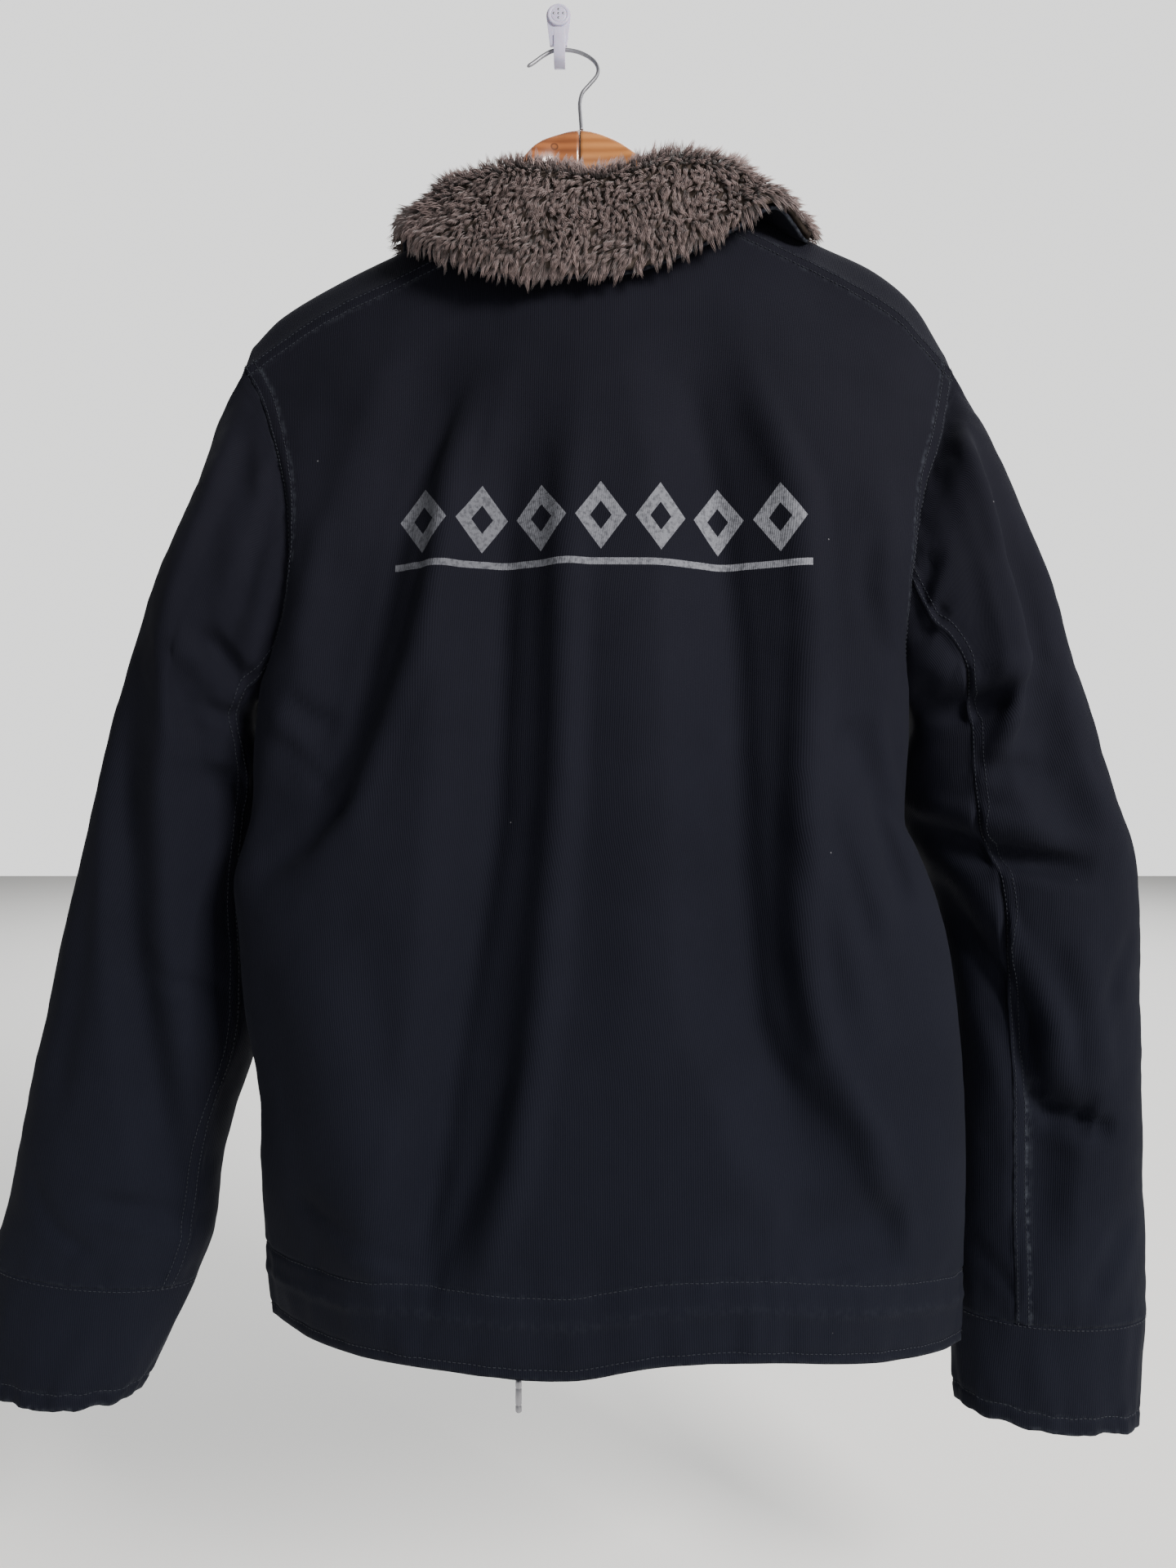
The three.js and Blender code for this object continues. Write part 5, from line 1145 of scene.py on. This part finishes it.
for side in ("left", "right"):
    turned = side == "left"
    way = -1 if turned else 1
    seam_start, seam_end = (column / ROUND_COLUMNS for column in SEAM_COLUMNS[side])
    sections = CUFF_SECTION * shares((0.02, 8), (0.97, 150), (1, 8))
    stretches = {"upper": (seam_end - 1, seam_start, 52), "under": (seam_start, seam_end, 40)}
    for part, (start, end, steps) in stretches.items():
        turns = lerp(start, end, shares((0.05, 8), (0.95, steps), (1, 8)))
        grid = sleeve_surface(side, turns, sections)
        outwards = surface_normals(grid) * way
        around = arc_lengths(grid, 1)
        down = arc_lengths(grid, 0)
        to_cuff = down[-1] - down
        from_seam = np.minimum(around, around[:, -1:] - around)
        facing = np.maximum(np.sin(2 * np.pi * turns), 0)
        fade = ease(down / 0.02) * ease(to_cuff / 0.012) * ease(from_seam / 0.004)
        lift = -fold_depth(SLEEVE_CREASES[side], grid[..., 0], grid[..., 2]) * facing * fade
        lift = lift + 0.0016 * ripple(grid * (1, 1, 0.7), 30, 21) * fade + 0.0005 * ripple(grid, 90,
            23) * fade
        head_puckers = ripple(np.stack([around * 1.3, down * 0.25, around * 0], -1), 150, 27)
        lift = lift + 0.0011 * head_puckers * ease(down / 0.003) * ease((0.035 - down) / 0.03)
        cuff_puckers = ripple(np.stack([around, to_cuff * 0.25, around * 0], -1), 110, 29)
        lift = lift + 0.0014 * cuff_puckers * ease(to_cuff / 0.003) * ease((0.04 - to_cuff) / 0.035)
        wear_and_highlight = 0.25 * bell(down, 0.0015) + 0.3 * bell(to_cuff, 0.0015)
        if part == "upper":
            rise, painted_seam_highlight = felled(around[:, -1:] - around, down, 31)
            if side == "right":
                rise = rise * lerp(0.3, 1.0, ease((-0.58 - grid[..., 2]) / 0.1))
            lift = lift + rise * ease(down / 0.004)
            # Painted highlight: on the right sleeve below z -0.72 m the felled seam's edges are painted pale
            # where the ridge catches the light.
            wear_and_highlight = wear_and_highlight + painted_seam_highlight * ease((-0.72 - grid[..., 2]) / 0.06) * (side == "right")
        grid = grid + outwards * lift[..., None]
        outwards = surface_normals(grid) * way
        uv = np.stack([around - around[:, :1], down], -1)
        cloth_piece(f"sleeve_{part}_cloth_{side}", [(grid, uv, wear_and_highlight)], cloth, [f"sleeve_{part}_{side}"],
                    turned=turned)
        if part == "upper":
            for distance in SEAM_STITCH_ROWS:
                stitch_lines.append(inset_line(grid, outwards, "right", distance))

    turns = np.linspace(0, 1, 97)
    sections = lerp(CUFF_SECTION, LAST_SECTION, shares((0.06, 4), (0.8, 18), (1, 9)))
    grid = sleeve_surface(side, turns, sections)
    grid[:, -1] = grid[:, 0]
    down = arc_lengths(grid, 0)
    to_edge = down[-1] - down
    around = arc_lengths(grid, 1)
    outwards = surface_normals(grid) * way
    ring_places = np.stack(np.broadcast_arrays(
        0.055 * np.cos(2 * np.pi * turns), 0.055 * np.sin(2 * np.pi * turns), to_edge * 0.3), -1)
    cuff_pull = bell(to_edge - CUFF_STITCH, 0.0016)
    lift = 0.0014 * ripple(ring_places, 70, 33) * ease(down / 0.004) - 0.001 * cuff_pull
    lift = lift + 0.0014 * ripple(ring_places, 150, 35) * ease((0.03 - to_edge) / 0.02) * ease(down / 0.004)
    grid = grid + outwards * lift[..., None]
    scallop = ripple(ring_places * (1, 1, 0), 85, 37)
    grid[..., 2] += 0.0022 * scallop * ease((0.022 - to_edge) / 0.02)
    grid[:, -1] = grid[:, 0]
    outwards = surface_normals(grid) * way
    wear_and_highlight = bell(to_edge, 0.0016) + 0.35 * bell(to_edge - CUFF_STITCH, 0.001)
    uv = np.stack([around, down], -1)
    cloth_piece(f"cuff_cloth_{side}", [(grid, uv, wear_and_highlight)], cloth, [f"cuff_{side}"],
                turned=turned, thickness=0.0022)
    stitch_lines.append(inset_line(grid, outwards, "top", CUFF_STITCH))
    stitch_lines.append(inset_line(grid, outwards, "bottom", 0.0015))

# Wind flap and buttons
# A double layer of the same cloth sewn to one front and buttoned over the other by six dark four-hole
# buttons, each on a short shank of thread.
FLAP_GAP = 0.0007
FLAP_THICKNESS = 0.0025
FLAP_EDGES = (0.005, 0.061)
FLAP_COLUMNS = 20
FLAP_STITCH = 0.004
BUTTON_X = 0.047
BUTTON_HEIGHTS = (-0.292, -0.402, -0.512, -0.622, -0.732, -0.842)
BUTTON_GAP = 0.0007
BUTTON_RADIUS = 0.011
BUTTON_PROFILE = [
    (0, 0), (0.003, 0), (0.003, 0.0012), (0.0085, 0.0013), (0.0103, 0.0017), (0.011, 0.0026),
    (0.0107, 0.0034), (0.0098, 0.0038), (0.0086, 0.0037), (0.0074, 0.003), (0.006, 0.0027), (0, 0.0026),
]
BUTTON_HOLE_REACH = 0.0021
BUTTON_HOLE_PROFILE = [(0, 0), (0.00095, 0), (0.00095, 0.00012), (0, 0.00014)]

flap_x = np.linspace(*FLAP_EDGES, FLAP_COLUMNS + 1)
flap_rows = []
for left_row, right_row in zip(front_grids["left"], front_grids["right"]):
    row = np.concatenate([left_row, right_row[::-1][1:]])
    flap_rows.append([[x, np.interp(x, row[:, 0], row[:, 1]),
        np.interp(x, row[:, 0], row[:, 2])] for x in flap_x])
flap_grid = np.array(flap_rows) + (0, FLAP_GAP + FLAP_THICKNESS, 0)
flap_across = arc_lengths(flap_grid, 1)
flap_up = arc_lengths(flap_grid, 0)
flap_side = np.minimum(flap_across, flap_across[:, -1:] - flap_across)
flap_beat = ripple(flap_grid * (1, 1, 0.5), 60, 41) * ease(flap_side / 0.004)
flap_pull = bell(flap_side - FLAP_STITCH, 0.0012)
flap_grid[..., 1] += 0.0005 * flap_beat - 0.0004 * flap_pull
flap_wear = 0.9 * bell(flap_side, 0.0012) + 0.3 * flap_pull
flap_uv = np.stack([flap_across, flap_up], -1)
cloth_piece("wind_flap_cloth", [(flap_grid, flap_uv, flap_wear)], cloth, ["wind_flap"],
            turned=True, thickness=FLAP_THICKNESS)
for side in ("left", "right"):
    stitch_lines.append(inset_line(flap_grid, -surface_normals(flap_grid), side, FLAP_STITCH))

button_material, button_tree, button_shader = new_material(
    "dark_horn_button", Roughness=0.3, Coat_Weight=0.3, Coat_Roughness=0.15)
button_place = add_node(button_tree, "ShaderNodeTexCoord")
button_streaks = add_node(button_tree, "ShaderNodeTexNoise", {
    "Vector": button_place.outputs["Object"], "Scale": 190.0, "Detail": 6.0, "Distortion": 1.2})
button_tone = add_node(button_tree, "ShaderNodeValToRGB", {"Fac": button_streaks.outputs["Fac"]})
button_tone.color_ramp.elements[0].position = 0.35
button_tone.color_ramp.elements[0].color = (0.006, 0.005, 0.005, 1)
button_tone.color_ramp.elements[1].position = 0.75
button_tone.color_ramp.elements[1].color = (0.045, 0.035, 0.028, 1)
button_tree.links.new(button_tone.outputs["Color"], button_shader.inputs["Base Color"])

for number, height in enumerate(BUTTON_HEIGHTS, 1):
    face = float(depth_at(FRONT_DEPTH, height)) + FLAP_GAP + FLAP_THICKNESS
    face += float(channel_swell(height - FRONT_HEM_HEIGHT)) + BUTTON_GAP
    rise = float(depth_at(FRONT_DEPTH, height + BUTTON_RADIUS) - depth_at(FRONT_DEPTH,
        height - BUTTON_RADIUS))
    axis = Vector((0, 2 * BUTTON_RADIUS, -rise)).normalized()
    grids = [turned_grid(BUTTON_PROFILE, 40, (BUTTON_X, face, height), axis)]
    for k in range(4):
        angle = math.pi / 4 + k * math.pi / 2
        hole = Vector((BUTTON_X, face, height)) + axis * 0.00258
        hole += Vector((math.cos(angle), 0, math.sin(angle))) * BUTTON_HOLE_REACH
        grids.append(turned_grid(BUTTON_HOLE_PROFILE, 14, hole, axis))
    faces, start = [], 0
    for grid in grids:
        faces += [tuple(face) for face in grid_faces(*grid.shape[:2], start)]
        start += grid.shape[0] * grid.shape[1]
    button = make_piece(f"flap_button_{number}", np.concatenate([grid.reshape(-1, 3) for grid in grids]),
        faces,
                        [button_material, cord_material], merge=1e-7)
    for polygon in button.data.polygons:
        if (Vector(polygon.center) - Vector((BUTTON_X, face, height))).length < BUTTON_HOLE_REACH * 1.5:
            polygon.material_index = int(len(polygon.vertices) < 4 or polygon.area < 2e-7)
    finish_piece(button, "horn", f"button_{number}")

# Collar and fur
# A shawl collar that rolls over at the neck: a navy cloth under side, and a facing of combed pile.
# The pile is a dark bed of short roots with thousands of small locks combed towards the free edge.
COLLAR_STATIONS = [
    # place along the neck seam, top of the roll, free edge of the fall
    (0, (29, -37, -238), (-20, -33, -316)), (0.07, (3, -38, -232), (-62, -32, -288)),
    (0.15, (-32, -39, -201), (-101, -36, -236)), (0.21, (-54, -41, -168), (-105, -37, -203)),
    (0.26, (-65, -60, -152), (-104, -62, -176)), (0.345, (-62, -86, -161), (-84, -104, -204)),
    (0.42, (-22, -100, -157), (-32, -120, -228)), (0.5, (27, -104, -165), (20, -124, -230)),
    (0.585, (78, -100, -151), (64, -121, -222)), (0.66, (114, -88, -151), (112, -112, -196)),
    (0.7, (116, -75, -146), (143, -101, -175)),
    (0.735, (117, -61, -142), (164, -86, -188)), (0.785, (112, -42, -153), (172, -50, -176)),
    (0.85, (88, -39, -196), (166, -37, -218)), (0.93, (58, -38, -232), (124, -32, -284)),
    (1, (39, -37, -238), (88, -33, -314)),
]
COLLAR_COLUMNS = 190
COLLAR_CENTRE = (0.029, -0.07)
NECK_HALF_WIDTH = 0.085
NECK_HALF_DEPTH = 0.032
ROLL_RADIUS = 0.006
COLLAR_CLOTH = 0.002
COLLAR_LIFT = 0.003
COLLAR_SET_IN = 0.0005
COLLAR_END_SHARE = 0.01
NECK_TOP = -0.12
PILE_GAP = 0.0005
# The collar's rows run from 0 at the seam over 1 at the foot of the roll and 2 past it to 3 at the edge.
PILE_ROWS = [0, 0.5, 1, 1.5, 2, 2.33, 2.67, 2.92, 3]
PILE_HEIGHTS = [0.0015, 0.0025, 0.004, 0.009, 0.011, 0.012, 0.012, 0.011, 0.005]
PILE_BED_SHARE = 0.42
LOCK_LENGTH = 0.0125
LOCK_DENSITY = 165000
LOCK_TILT = 0.62
LOCK_SWIRL = 0.55
LOCK_STRANDS = [
    # root offset, mid and tip of each strand as shares of the lock's length: sideways, outwards, along
    ((0.0, 0.0), (0.015, 0.07, 0.5), (0.02, -0.06, 1.0)), ((0.05, 0.01), (0.085, 0.05, 0.46),
        (0.05, -0.09, 0.93)),
    ((-0.05, 0.0), (-0.075, 0.06, 0.48), (-0.03, -0.08, 0.96)), ((0.0, -0.045), (-0.02, 0.0, 0.42),
        (0.0, -0.13, 0.82)),
]
STRAND_RADIUS = 0.00042
FUR_STRETCHES = {"fur_left_front": (0, 0.3), "fur_back_of_neck": (0.3, 0.7), "fur_right_front": (0.7, 1)}


def neck_seam_points():
    """The neck seam from the left front, round the back, to the right front."""
    steps = np.linspace(0, 1, 5)
    over = {side: line([SHOULDER_FRONT[side][-1], SHOULDER_RIDGE[side][-1], SHOULDER_SEAM[side][-1]],
        places=steps)
            for side in ("left", "right")}
    return np.concatenate([
        line(FRONT_NECK["left"], places=1 - steps), over["left"][1:], line(BACK_NECK, steps=10)[1:],
        over["right"][::-1][1:], line(FRONT_NECK["right"], places=steps)[1:]])


def collar_grid(places, rows, overhang=0.0):
    """Points of the collar at places along its seam and at rows from seam to edge."""
    seam_curve = smooth(neck_seam_points())
    knots = [place for place, _, _ in COLLAR_STATIONS]
    stations = smooth([[*roll, *edge] for _, roll, edge in COLLAR_STATIONS], knots)(places) * MILLIMETRE
    roll, edge = stations[:, :3], stations[:, 3:]
    seam = seam_curve(COLLAR_END_SHARE + (1 - 2 * COLLAR_END_SHARE) * places)
    outwards = np.stack([
        (seam[:, 0] - COLLAR_CENTRE[0]) / NECK_HALF_WIDTH ** 2,
        (seam[:, 1] - COLLAR_CENTRE[1]) / NECK_HALF_DEPTH ** 2, np.zeros(len(places))], -1)
    outwards /= np.linalg.norm(outwards, axis=1)[:, None]
    into_neck = np.stack([CENTRE_X - seam[:, 0], np.zeros(len(places)), NECK_TOP - seam[:, 2]], -1)
    into_neck /= np.linalg.norm(into_neck, axis=1)[:, None]
    seam = seam - COLLAR_SET_IN * outwards + COLLAR_LIFT * into_neck
    middle = roll - np.array([0, 0, ROLL_RADIUS])
    stand_top, fall_top = middle - ROLL_RADIUS * outwards, middle + ROLL_RADIUS * outwards
    reach = edge - fall_top
    edge = edge + overhang * reach / np.linalg.norm(reach, axis=1)[:, None]
    lines = []
    for row in rows:
        if row <= 1:
            lines.append(lerp(seam, stand_top, row))
        elif row >= 2:
            lines.append(lerp(fall_top, edge, row - 2))
        else:
            turn = math.pi * (row - 1)
            on_roll = middle - ROLL_RADIUS * math.cos(turn) * outwards
            lines.append(on_roll + np.array([0, 0, ROLL_RADIUS * math.sin(turn)]))
    return np.array(lines)


def pile_normals(grid):
    return -surface_normals(grid)


collar_places = np.linspace(0, 1, COLLAR_COLUMNS + 1)
collar_rows = np.concatenate([np.linspace(0, 1, 7), np.linspace(1, 2, 9)[1:], np.linspace(2, 3, 25)[1:]])
collar_face = collar_grid(collar_places, collar_rows)
collar_out = pile_normals(collar_face)
collar_waves = 0.0012 * ripple(collar_face, 40, 51) * ease((collar_rows - 2) / 0.4)[:, None]
collar_face = collar_face + collar_out * collar_waves[..., None]
collar_back = collar_face - collar_out * COLLAR_CLOTH
collar_down = arc_lengths(collar_face, 0)
collar_round = arc_lengths(collar_face, 1)
collar_wear = np.broadcast_to(bell(3 - collar_rows, 0.03)[:, None], collar_down.shape)
collar_uv = np.stack([collar_round, collar_down], -1)
cloth_piece("collar_under_cloth", [(collar_back, collar_uv, collar_wear)], cloth, ["collar_under"],
            thickness=-COLLAR_CLOTH)

pile_heights = np.interp(collar_rows, PILE_ROWS, PILE_HEIGHTS)[:, None]
bed_height = PILE_GAP + (pile_heights - PILE_GAP) * PILE_BED_SHARE
bed_grid = collar_face + collar_out * (bed_height + 0.0009 * ripple(collar_face, 120, 53))[..., None]
bed_foot = collar_face + collar_out * PILE_GAP
bed_material, bed_tree, bed_shader = new_material("fur_roots", Roughness=0.95, Specular_IOR_Level=0.1)
bed_place = add_node(bed_tree, "ShaderNodeTexCoord")
bed_noise = add_node(bed_tree, "ShaderNodeTexNoise", {
    "Vector": bed_place.outputs["Object"], "Scale": 420.0, "Detail": 4.0})
bed_tone = tone_node(bed_tree, bed_noise.outputs["Fac"], (0.018, 0.014, 0.012, 1), (0.085, 0.066, 0.056, 1))
bed_tree.links.new(bed_tone.outputs["Color"], bed_shader.inputs["Base Color"])
bed_points = np.concatenate([bed_grid.reshape(-1, 3), bed_foot.reshape(-1, 3)])
rows, columns = bed_grid.shape[:2]
layer = rows * columns
bed_faces = [tuple(face) for face in grid_faces(rows, columns, 0, True)]
bed_faces += [tuple(face) for face in grid_faces(rows, columns, layer)]
rim = [k for k in range(columns)] + [j * columns + columns - 1 for j in range(1, rows)]
rim += [(rows - 1) * columns + k for k in range(columns - 2, -1, -1)] + [j * columns for j in range(rows - 2,
    0, -1)]
bed_faces += [(a, b, b + layer, a + layer) for a, b in zip(rim, rim[1:] + rim[:1])]
bed = make_piece("collar_pile_bed", bed_points, bed_faces, [bed_material])
finish_piece(bed, "fur", "collar_pile")


def run_tree(name, host, tree, values):
    """The mesh that a node tree makes from a host, as a plain piece. The host is used up."""
    modifier = host.modifiers.new("maker", "NODES")
    modifier.node_group = tree
    for item in tree.interface.items_tree:
        if item.item_type == "SOCKET" and item.name in values:
            modifier[item.identifier] = values[item.name]
    graph = bpy.context.evaluated_depsgraph_get()
    mesh = bpy.data.meshes.new_from_object(
        host.evaluated_get(graph), preserve_all_data_layers=True, depsgraph=graph)
    mesh.name = name
    host.modifiers.remove(modifier)
    bpy.data.objects.remove(host)
    piece = bpy.data.objects.new(name, mesh)
    scene.collection.objects.link(piece)
    return piece


def maker_tree(name, sockets):
    """An empty geometry tree with named inputs, its input node and its output node."""
    tree = bpy.data.node_groups.new(name, "GeometryNodeTree")
    tree.interface.new_socket("Geometry", in_out="INPUT", socket_type="NodeSocketGeometry")
    for key, kind in sockets.items():
        tree.interface.new_socket(key, in_out="INPUT", socket_type=kind)
    tree.interface.new_socket("Geometry", in_out="OUTPUT", socket_type="NodeSocketGeometry")
    return tree, tree.nodes.new("NodeGroupInput").outputs, tree.nodes.new("NodeGroupOutput")


fur_material, fur_tree, fur_shader = new_material(
    "combed_taupe_fur", Roughness=0.75, Specular_IOR_Level=0.2, Sheen_Weight=0.25, Sheen_Roughness=0.5)
fur_along = add_node(fur_tree, "ShaderNodeAttribute", attribute_name="along")
fur_tone = tone_node(fur_tree, fur_along.outputs["Fac"], (0.04, 0.029, 0.0275, 1), (0.255, 0.188, 0.178, 1))
fur_middle = fur_tone.color_ramp.elements.new(0.5)
fur_middle.color = (0.128, 0.093, 0.089, 1)
fur_shade = add_node(fur_tree, "ShaderNodeAttribute", attribute_name="shade")
fur_place = add_node(fur_tree, "ShaderNodeTexCoord")
fur_cloud = add_node(fur_tree, "ShaderNodeTexNoise", {
    "Vector": fur_place.outputs["Object"], "Scale": 32.0, "Detail": 3.0})
fur_patch = add_node(fur_tree, "ShaderNodeMapRange", {
    "Value": fur_cloud.outputs["Fac"], "From Min": 0.3, "From Max": 0.7, "To Min": 0.72, "To Max": 1.2})
fur_level = math_node(fur_tree, "MULTIPLY", fur_shade.outputs["Fac"], fur_patch.outputs[0])
fur_colour = add_node(fur_tree, "ShaderNodeVectorMath",
    {0: fur_tone.outputs["Color"], "Scale": fur_level.outputs[0]},
                      operation="SCALE")
fur_tree.links.new(fur_colour.outputs["Vector"], fur_shader.inputs["Base Color"])

lock_points, lock_faces, lock_along = [], [], []
for root, mid, tip in LOCK_STRANDS:
    start = len(lock_points)
    for level, (x, y, z) in enumerate(((*root, 0.0), mid)):
        radius = STRAND_RADIUS * (1, 0.8)[level]
        for k in range(3):
            angle = 2 * math.pi * k / 3
            lock_points.append((x * LOCK_LENGTH + radius * math.cos(angle),
                y * LOCK_LENGTH + radius * math.sin(angle),
                                z * LOCK_LENGTH))
            lock_along.append((0.0, 0.5)[level])
    lock_points.append(tuple(value * LOCK_LENGTH for value in tip))
    lock_along.append(1.0)
    for k in range(3):
        after = (k + 1) % 3
        lock_faces.append((start + k, start + after, start + 3 + after, start + 3 + k))
        lock_faces.append((start + 3 + k, start + 3 + after, start + 6))
lock = make_piece("fur_lock", lock_points, lock_faces, [fur_material], marks={"along": lock_along})

fur_maker, fur_in, fur_end = maker_tree("fur_locks", {
    "Lock": "NodeSocketObject", "Density": "NodeSocketFloat", "Seed": "NodeSocketInt",
    "Material": "NodeSocketMaterial"})
cover = add_node(fur_maker, "GeometryNodeInputNamedAttribute", {"Name": "cover"}, data_type="FLOAT")
comb = add_node(fur_maker, "GeometryNodeInputNamedAttribute", {"Name": "comb"}, data_type="FLOAT_VECTOR")
outside = add_node(fur_maker, "GeometryNodeInputNamedAttribute", {"Name": "outside"},
    data_type="FLOAT_VECTOR")
crowd = math_node(fur_maker, "MULTIPLY", cover.outputs["Attribute"], fur_in["Density"])
roots = add_node(fur_maker, "GeometryNodeDistributePointsOnFaces", {
    "Mesh": fur_in["Geometry"], "Density": crowd.outputs[0], "Seed": fur_in["Seed"]})
stray = add_node(fur_maker, "FunctionNodeRandomValue", {0: (-0.3, -0.3, -0.3), 1: (0.3, 0.3, 0.3)},
                 data_type="FLOAT_VECTOR")
lean = add_node(fur_maker, "ShaderNodeVectorMath", {0: comb.outputs["Attribute"], 1: stray.outputs["Value"]},
                operation="ADD")
aim = add_node(fur_maker, "FunctionNodeAxesToRotation", {
    "Primary Axis": lean.outputs["Vector"], "Secondary Axis": outside.outputs["Attribute"]},
    primary_axis="Z", secondary_axis="Y")
roll = add_node(fur_maker, "FunctionNodeRandomValue", {2: -0.9, 3: 0.9}, data_type="FLOAT")
twist = add_node(fur_maker, "FunctionNodeAxisAngleToRotation", {"Axis": (0, 0, 1), "Angle": roll.outputs[1]})
turned_aim = add_node(fur_maker, "FunctionNodeRotateRotation", {
    "Rotation": aim.outputs["Rotation"], "Rotate By": twist.outputs["Rotation"]}, rotation_space="LOCAL")
size = add_node(fur_maker, "FunctionNodeRandomValue", {2: 0.72, 3: 1.12}, data_type="FLOAT")
lock_info = add_node(fur_maker, "GeometryNodeObjectInfo", {"Object": fur_in["Lock"]})
planted = add_node(fur_maker, "GeometryNodeInstanceOnPoints", {
    "Points": roots.outputs["Points"], "Instance": lock_info.outputs["Geometry"],
    "Rotation": turned_aim.outputs["Rotation"], "Scale": size.outputs[1]})
tint = add_node(fur_maker, "FunctionNodeRandomValue", {2: 0.7, 3: 1.3}, data_type="FLOAT")
shaded = add_node(fur_maker, "GeometryNodeStoreNamedAttribute", {
    "Geometry": planted.outputs["Instances"], "Name": "shade", "Value": tint.outputs[1]},
    data_type="FLOAT", domain="INSTANCE")
real_fur = add_node(fur_maker, "GeometryNodeRealizeInstances", {"Geometry": shaded.outputs["Geometry"]})
dressed_fur = add_node(fur_maker, "GeometryNodeSetMaterial", {
    "Geometry": real_fur.outputs["Geometry"], "Material": fur_in["Material"]})
fur_maker.links.new(dressed_fur.outputs["Geometry"], fur_end.inputs["Geometry"])

down_the_pile = np.gradient(bed_grid, axis=0)
down_the_pile /= np.maximum(np.linalg.norm(down_the_pile, axis=-1, keepdims=True), 1e-12)
bed_out = pile_normals(bed_grid)
sideways = np.cross(bed_out, down_the_pile)
swirl = LOCK_SWIRL * ripple(bed_grid, 38, 57) + 0.3 * ripple(bed_grid, 95, 59)
stand_up = LOCK_TILT + 0.5 * bell(collar_rows - 1.6, 0.35)[:, None] + 0.3 * ripple(bed_grid, 60,
    61)
stand_up = stand_up * (1 - 0.7 * ease((collar_rows - 2.75) / 0.2))[:, None]
comb_way = (down_the_pile * np.cos(swirl)[..., None] + sideways * np.sin(swirl)[..., None]
            + bed_out * stand_up[..., None])
comb_way /= np.linalg.norm(comb_way, axis=-1, keepdims=True)
seen = 0.45 + 0.55 * ease((collar_rows - 1.0) / 0.4)[:, None]
edge_fade = ease((2.985 - collar_rows) / 0.01)[:, None]
fur_cover = seen * edge_fade * np.ones_like(stand_up)
for seed, (name, (start, end)) in enumerate(FUR_STRETCHES.items()):
    chosen = np.flatnonzero((collar_places >= start - 1e-9) & (collar_places <= end + 1e-9))
    patch = bed_grid[:, chosen]
    host = make_piece(name + "_host", patch.reshape(-1, 3),
                      [tuple(face) for face in grid_faces(*patch.shape[:2], 0, True)], [fur_material],
                      marks={"cover": fur_cover[:, chosen]})
    for key, field in (("comb", comb_way), ("outside", bed_out)):
        host.data.attributes.new(key, "FLOAT_VECTOR", "POINT").data.foreach_set("vector",
            field[:, chosen].ravel())
    fur = run_tree(name, host, fur_maker, {
        "Lock": lock, "Density": float(LOCK_DENSITY), "Seed": seed, "Material": fur_material})
    finish_piece(fur, "fur")
bpy.data.objects.remove(lock)

# Stitches
# The rows of navy thread at the armholes, shoulders, sleeve seams, cuffs, hem channel, flap and collar:
# short raised stitches laid end to end along the lines that each piece of cloth handed on.
STITCH_PITCH = 0.003
STITCH_SIZE = (0.00225, 0.00055, 0.0005)
stitch_lines.append(inset_line(collar_back, -collar_out, "top", 0.004))

thread_material, thread_tree, thread_shader = new_material(
    "navy_thread", Roughness=0.6, Specular_IOR_Level=0.25, Sheen_Weight=0.1)
thread_place = add_node(thread_tree, "ShaderNodeTexCoord")
thread_noise = add_node(thread_tree, "ShaderNodeTexNoise", {
    "Vector": thread_place.outputs["Object"], "Scale": 700.0, "Detail": 2.0})
thread_tone = tone_node(thread_tree, thread_noise.outputs["Fac"], (0.006, 0.0075, 0.012, 1),
    (0.024, 0.028, 0.04, 1))
thread_tree.links.new(thread_tone.outputs["Color"], thread_shader.inputs["Base Color"])

stitch_points = np.concatenate(stitch_lines)
stitch_edges, start = [], 0
for path in stitch_lines:
    stitch_edges += [(start + k, start + k + 1) for k in range(len(path) - 1)]
    start += len(path)
stitch_mesh = bpy.data.meshes.new("stitch_paths")
stitch_mesh.from_pydata(stitch_points.tolist(), stitch_edges, [])
stitch_host = bpy.data.objects.new("stitch_paths", stitch_mesh)
scene.collection.objects.link(stitch_host)

stitch_maker, stitch_in, stitch_end = maker_tree("stitch_rows", {
    "Pitch": "NodeSocketFloat", "Size": "NodeSocketVector", "Material": "NodeSocketMaterial"})
rows_of_thread = add_node(stitch_maker, "GeometryNodeMeshToCurve", {"Mesh": stitch_in["Geometry"]})
spaced = add_node(stitch_maker, "GeometryNodeResampleCurve", {
    "Curve": rows_of_thread.outputs["Curve"], "Length": stitch_in["Pitch"]}, mode="LENGTH")
tangent = add_node(stitch_maker, "GeometryNodeInputTangent")
laid = add_node(stitch_maker, "FunctionNodeAlignRotationToVector", {"Vector": tangent.outputs["Tangent"]},
    axis="X")
bead = add_node(stitch_maker, "GeometryNodeMeshIcoSphere", {"Radius": 0.5, "Subdivisions": 1})
sewn = add_node(stitch_maker, "GeometryNodeInstanceOnPoints", {
    "Points": spaced.outputs["Curve"], "Instance": bead.outputs["Mesh"],
    "Rotation": laid.outputs["Rotation"],
    "Scale": stitch_in["Size"]})
real_thread = add_node(stitch_maker, "GeometryNodeRealizeInstances", {"Geometry": sewn.outputs["Instances"]})
dyed = add_node(stitch_maker, "GeometryNodeSetMaterial", {
    "Geometry": real_thread.outputs["Geometry"], "Material": stitch_in["Material"]})
stitch_maker.links.new(dyed.outputs["Geometry"], stitch_end.inputs["Geometry"])
stitches = run_tree("thread_stitches", stitch_host, stitch_maker, {
    "Pitch": STITCH_PITCH, "Size": STITCH_SIZE, "Material": thread_material})
finish_piece(stitches, "cloth")
